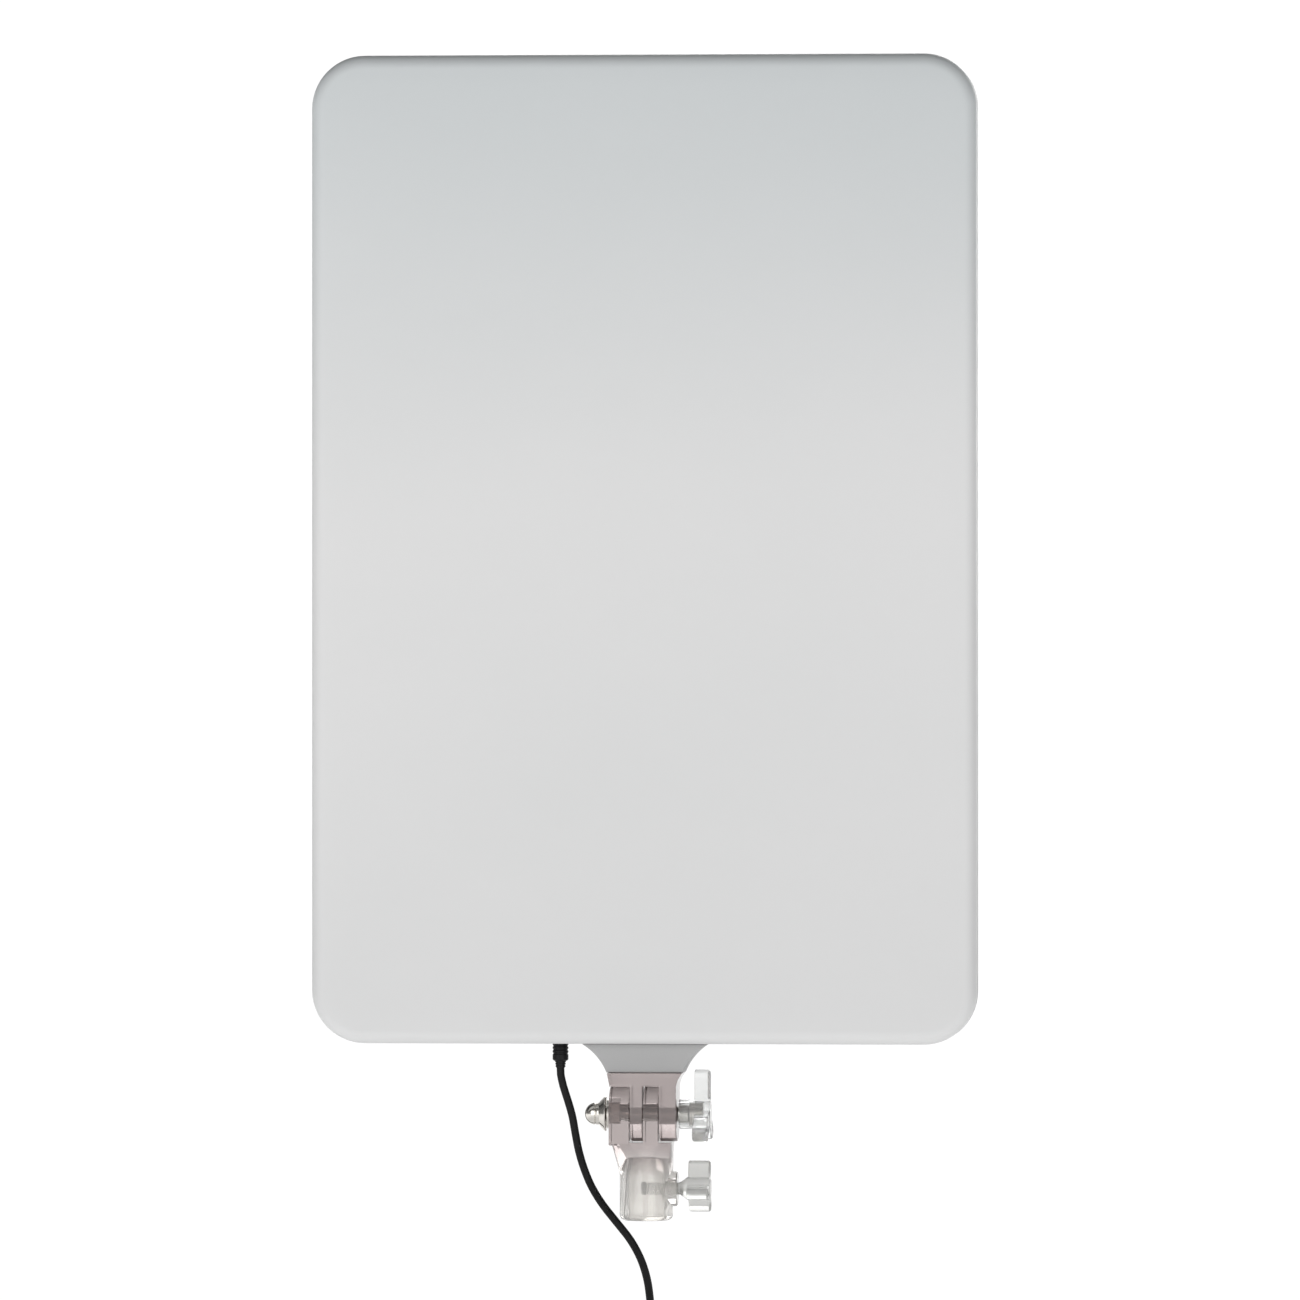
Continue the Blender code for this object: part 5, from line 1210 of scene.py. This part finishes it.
def dome_nut():
    """A cap nut: a smooth dome, a grooved waist and a cone-shaped flange."""
    low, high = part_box("acorn_nut")
    tip, seat, floor = low.x, high.x, low.x + 0.0018
    waist = seat - 0.0033
    dome = waist - 0.0016
    radius, flange, edge = 0.0050, 0.0080, 0.0003
    profile = [
        (0.0, floor), (BOLT_HOLE, floor), (BOLT_HOLE, seat - edge),
        (BOLT_HOLE + edge, seat), (flange - edge, seat), (flange, seat - edge),
        (flange, seat - 0.0007), (flange - edge, seat - 0.0010), (0.0056, waist + 0.0002),
        (0.0051, waist), (radius, waist - 0.0002), (radius, dome + edge),
        (radius - edge, dome + 0.0001), (radius - edge, dome - 0.0001),
    ]
    profile += [(radius * math.cos(math.radians(a)), dome - radius * math.sin(math.radians(a)))
                for a in range(4, 90, 8)]
    profile.append((0.0, tip))
    piece("dome_nut", turned(profile, TILT_AXIS, "X", 56), "bracket", METAL,
          ("acorn_nut",))


def ring_piece(name, node, body, outer, edge, grooves=0):
    """A turned ring on the bolt with eased edges and optional grooves."""
    low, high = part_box(node)
    profile = [(BOLT_HOLE, low.x), (outer - edge, low.x), (outer, low.x + edge)]
    for i in range(grooves):
        x = low.x + (high.x - low.x) * (i + 1) / (grooves + 1)
        profile += notch(outer, x, 0.0003, (-0.0003, -0.0001, 0.0001, 0.0003))
    profile += [(outer, high.x - edge), (outer - edge, high.x), (BOLT_HOLE, high.x),
                (BOLT_HOLE, low.x)]
    piece(name, turned(profile, TILT_AXIS, "X"), body, METAL, (node,))


# ---------------- clear knobs
def star_outline(centre_z, length, half_width, turn):
    """Three arms with round ends and filleted valleys, in (y, z)."""
    points = []
    fillet = half_width * 0.55
    far = (half_width + fillet) / math.sin(math.radians(60))
    for i in range(3):
        direction = turn + 90 + 120 * i
        way, valley = math.radians(direction), math.radians(direction - 60)
        tip = ((length - half_width) * math.cos(way),
               centre_z + (length - half_width) * math.sin(way))
        centre = (far * math.cos(valley), centre_z + far * math.sin(valley))
        points += arc(centre, fillet, direction + 150, direction + 90, 6)
        points += arc(tip, half_width, direction - 90, direction + 90, 14)
    return points


def wings(centre_z, length, half_width, turn, low, high, edge, depth):
    """Steps for a knob's three arms, each with a shallow pocket in its outer face."""
    arms = star_outline(centre_z, length, half_width, turn)
    steps = [(ADD, slab(arms, low, high, edge, facing_x))]
    half = (length - half_width) / 2
    shape = rounded(half - 0.0022, half_width * 0.42, half_width * 0.40, 5,
                    (half + 0.0042, 0.0))
    for i in range(3):
        way = math.radians(turn + 90 + 120 * i)
        outline = [
            (u * math.cos(way) - v * math.sin(way),
             centre_z + u * math.sin(way) + v * math.cos(way))
            for u, v in shape
        ]
        steps.append((CUT, slab(outline, high - depth, high + 0.002, 0.0002, facing_x)))
    return steps


def upper_wing_knob():
    """The clear knob on the tilt bolt, moulded round its sleeve and ferrule."""
    low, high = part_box("tilt_wing_knob")
    hub, face, edge, rise = 0.0067, 0.0059, 0.0004, 0.0008
    build = turned([
        (0.0, low.x), (hub - edge, low.x), (hub, low.x + edge), (hub, high.x - rise),
        (face, high.x), (0.0, high.x),
    ], TILT_AXIS, "X", 56)
    steps = wings(TILT_Z, length=0.0202, half_width=0.0036, turn=0.0, low=high.x - 0.0074,
                  high=high.x - 0.0002, edge=0.0011, depth=0.0012)
    ferrule_low, ferrule_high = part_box("knob_ferrule")
    sleeve_bore, ferrule_bore = 0.0043, 0.0055
    start, step, end = low.x - PAST, ferrule_low.x - GAP, ferrule_high.x + GAP
    steps.append((CUT, turned([
        (0.0, start), (sleeve_bore, start), (sleeve_bore, step), (ferrule_bore, step),
        (ferrule_bore, end), (0.0, end),
    ], TILT_AXIS, "X", BORE_SIDES)))
    piece("upper_wing_knob", combined(build, steps), "tilt_knob", KNOB_CLEAR,
          ("tilt_wing_knob",))


def lower_wing_knob():
    """The moulded clamp screw: its thread, a collar and a three-armed knob."""
    low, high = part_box("clamp_wing_screw")
    knob_x, shank_end, arm_end = 0.0186, 0.0002, 0.0288
    tip, collar, face = 0.0014, 0.0052, 0.0044
    build = bmesh.new()

    def rings_at(places):
        return [circle(build, "X", radius, x, CLAMP_AXIS, THREAD_SIDES) for radius, x in places]

    rings = rings_at(((0.0, low.x), (tip, low.x), (tip, shank_end), (BOLT_END, shank_end)))
    rings += threaded_rings(build, BOLT_RADIUS, shank_end + 0.0005, knob_x - 0.0034, CLAMP_AXIS)
    rings += rings_at(((BOLT_RADIUS, knob_x - 0.0030), (collar, knob_x),
                       (collar, high.x - 0.0008), (face, high.x), (0.0, high.x)))
    skin(build, rings)
    steps = wings(CLAMP_Z, length=0.0132, half_width=0.0028, turn=-20.0,
                  low=knob_x + 0.0002, high=arm_end, edge=0.0010, depth=0.0010)
    piece("lower_wing_knob", combined(build, steps), "clamp_screw",
          CLAMP_CLEAR, ("clamp_wing_screw",))


def screw_pad():
    """The clamp screw's pad, with the socket that its tip turns in."""
    low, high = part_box("clamp_pad")
    radius, edge, rise, tip_bore, tip_seat = 0.0030, 0.0004, 0.0002, 0.0017, high.x - 0.0015
    profile = [(0.0, low.x), (radius - edge, low.x), (radius, low.x + edge),
               (radius, high.x - rise), (radius - rise, high.x), (tip_bore, high.x),
               (tip_bore, tip_seat), (0.0, tip_seat)]
    piece("screw_pad", turned(profile, CLAMP_AXIS, "X", BORE_SIDES), "clamp_pad",
          BUTTON, ("clamp_pad",))


# ---------------- CAD nodes that stay
def finish_nodes():
    """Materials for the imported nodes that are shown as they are."""
    finishes = {
        "reflector_tray": SHEET, "control_board": BOARD, "dc_jack": DARK,
        "led_wire_plus": WIRE, "led_wire_minus": WIRE, "dc_plug_barrel": METAL,
    }
    finishes.update({f"led_strip_{i}": STRIP for i in range(1, 7)})
    for name, finish in finishes.items():
        for slot in NODES[name].material_slots:
            slot.material = finish


make_camera()
power_lead()
make_studio()
diffuser_shell()
back_shell()
rear_housing()
bezel_plate()
button_caps()
indicator()
for group in SCREWS:
    for screw in numbered(group):
        pan_screw(screw)
head_knuckle()
base_bracket()
bolt_thread()
dome_nut()
ring_piece("washer_plate", "nut_washer", "bracket", outer=0.0066, edge=0.0002)
ring_piece("sleeve_steel", "spacer_sleeve", "tilt_sleeve", outer=0.0040, edge=0.0002)
ring_piece("ferrule_brass", "knob_ferrule", "tilt_knob", outer=0.0052, edge=0.0003, grooves=5)
upper_wing_knob()
lower_wing_knob()
screw_pad()
finish_nodes()
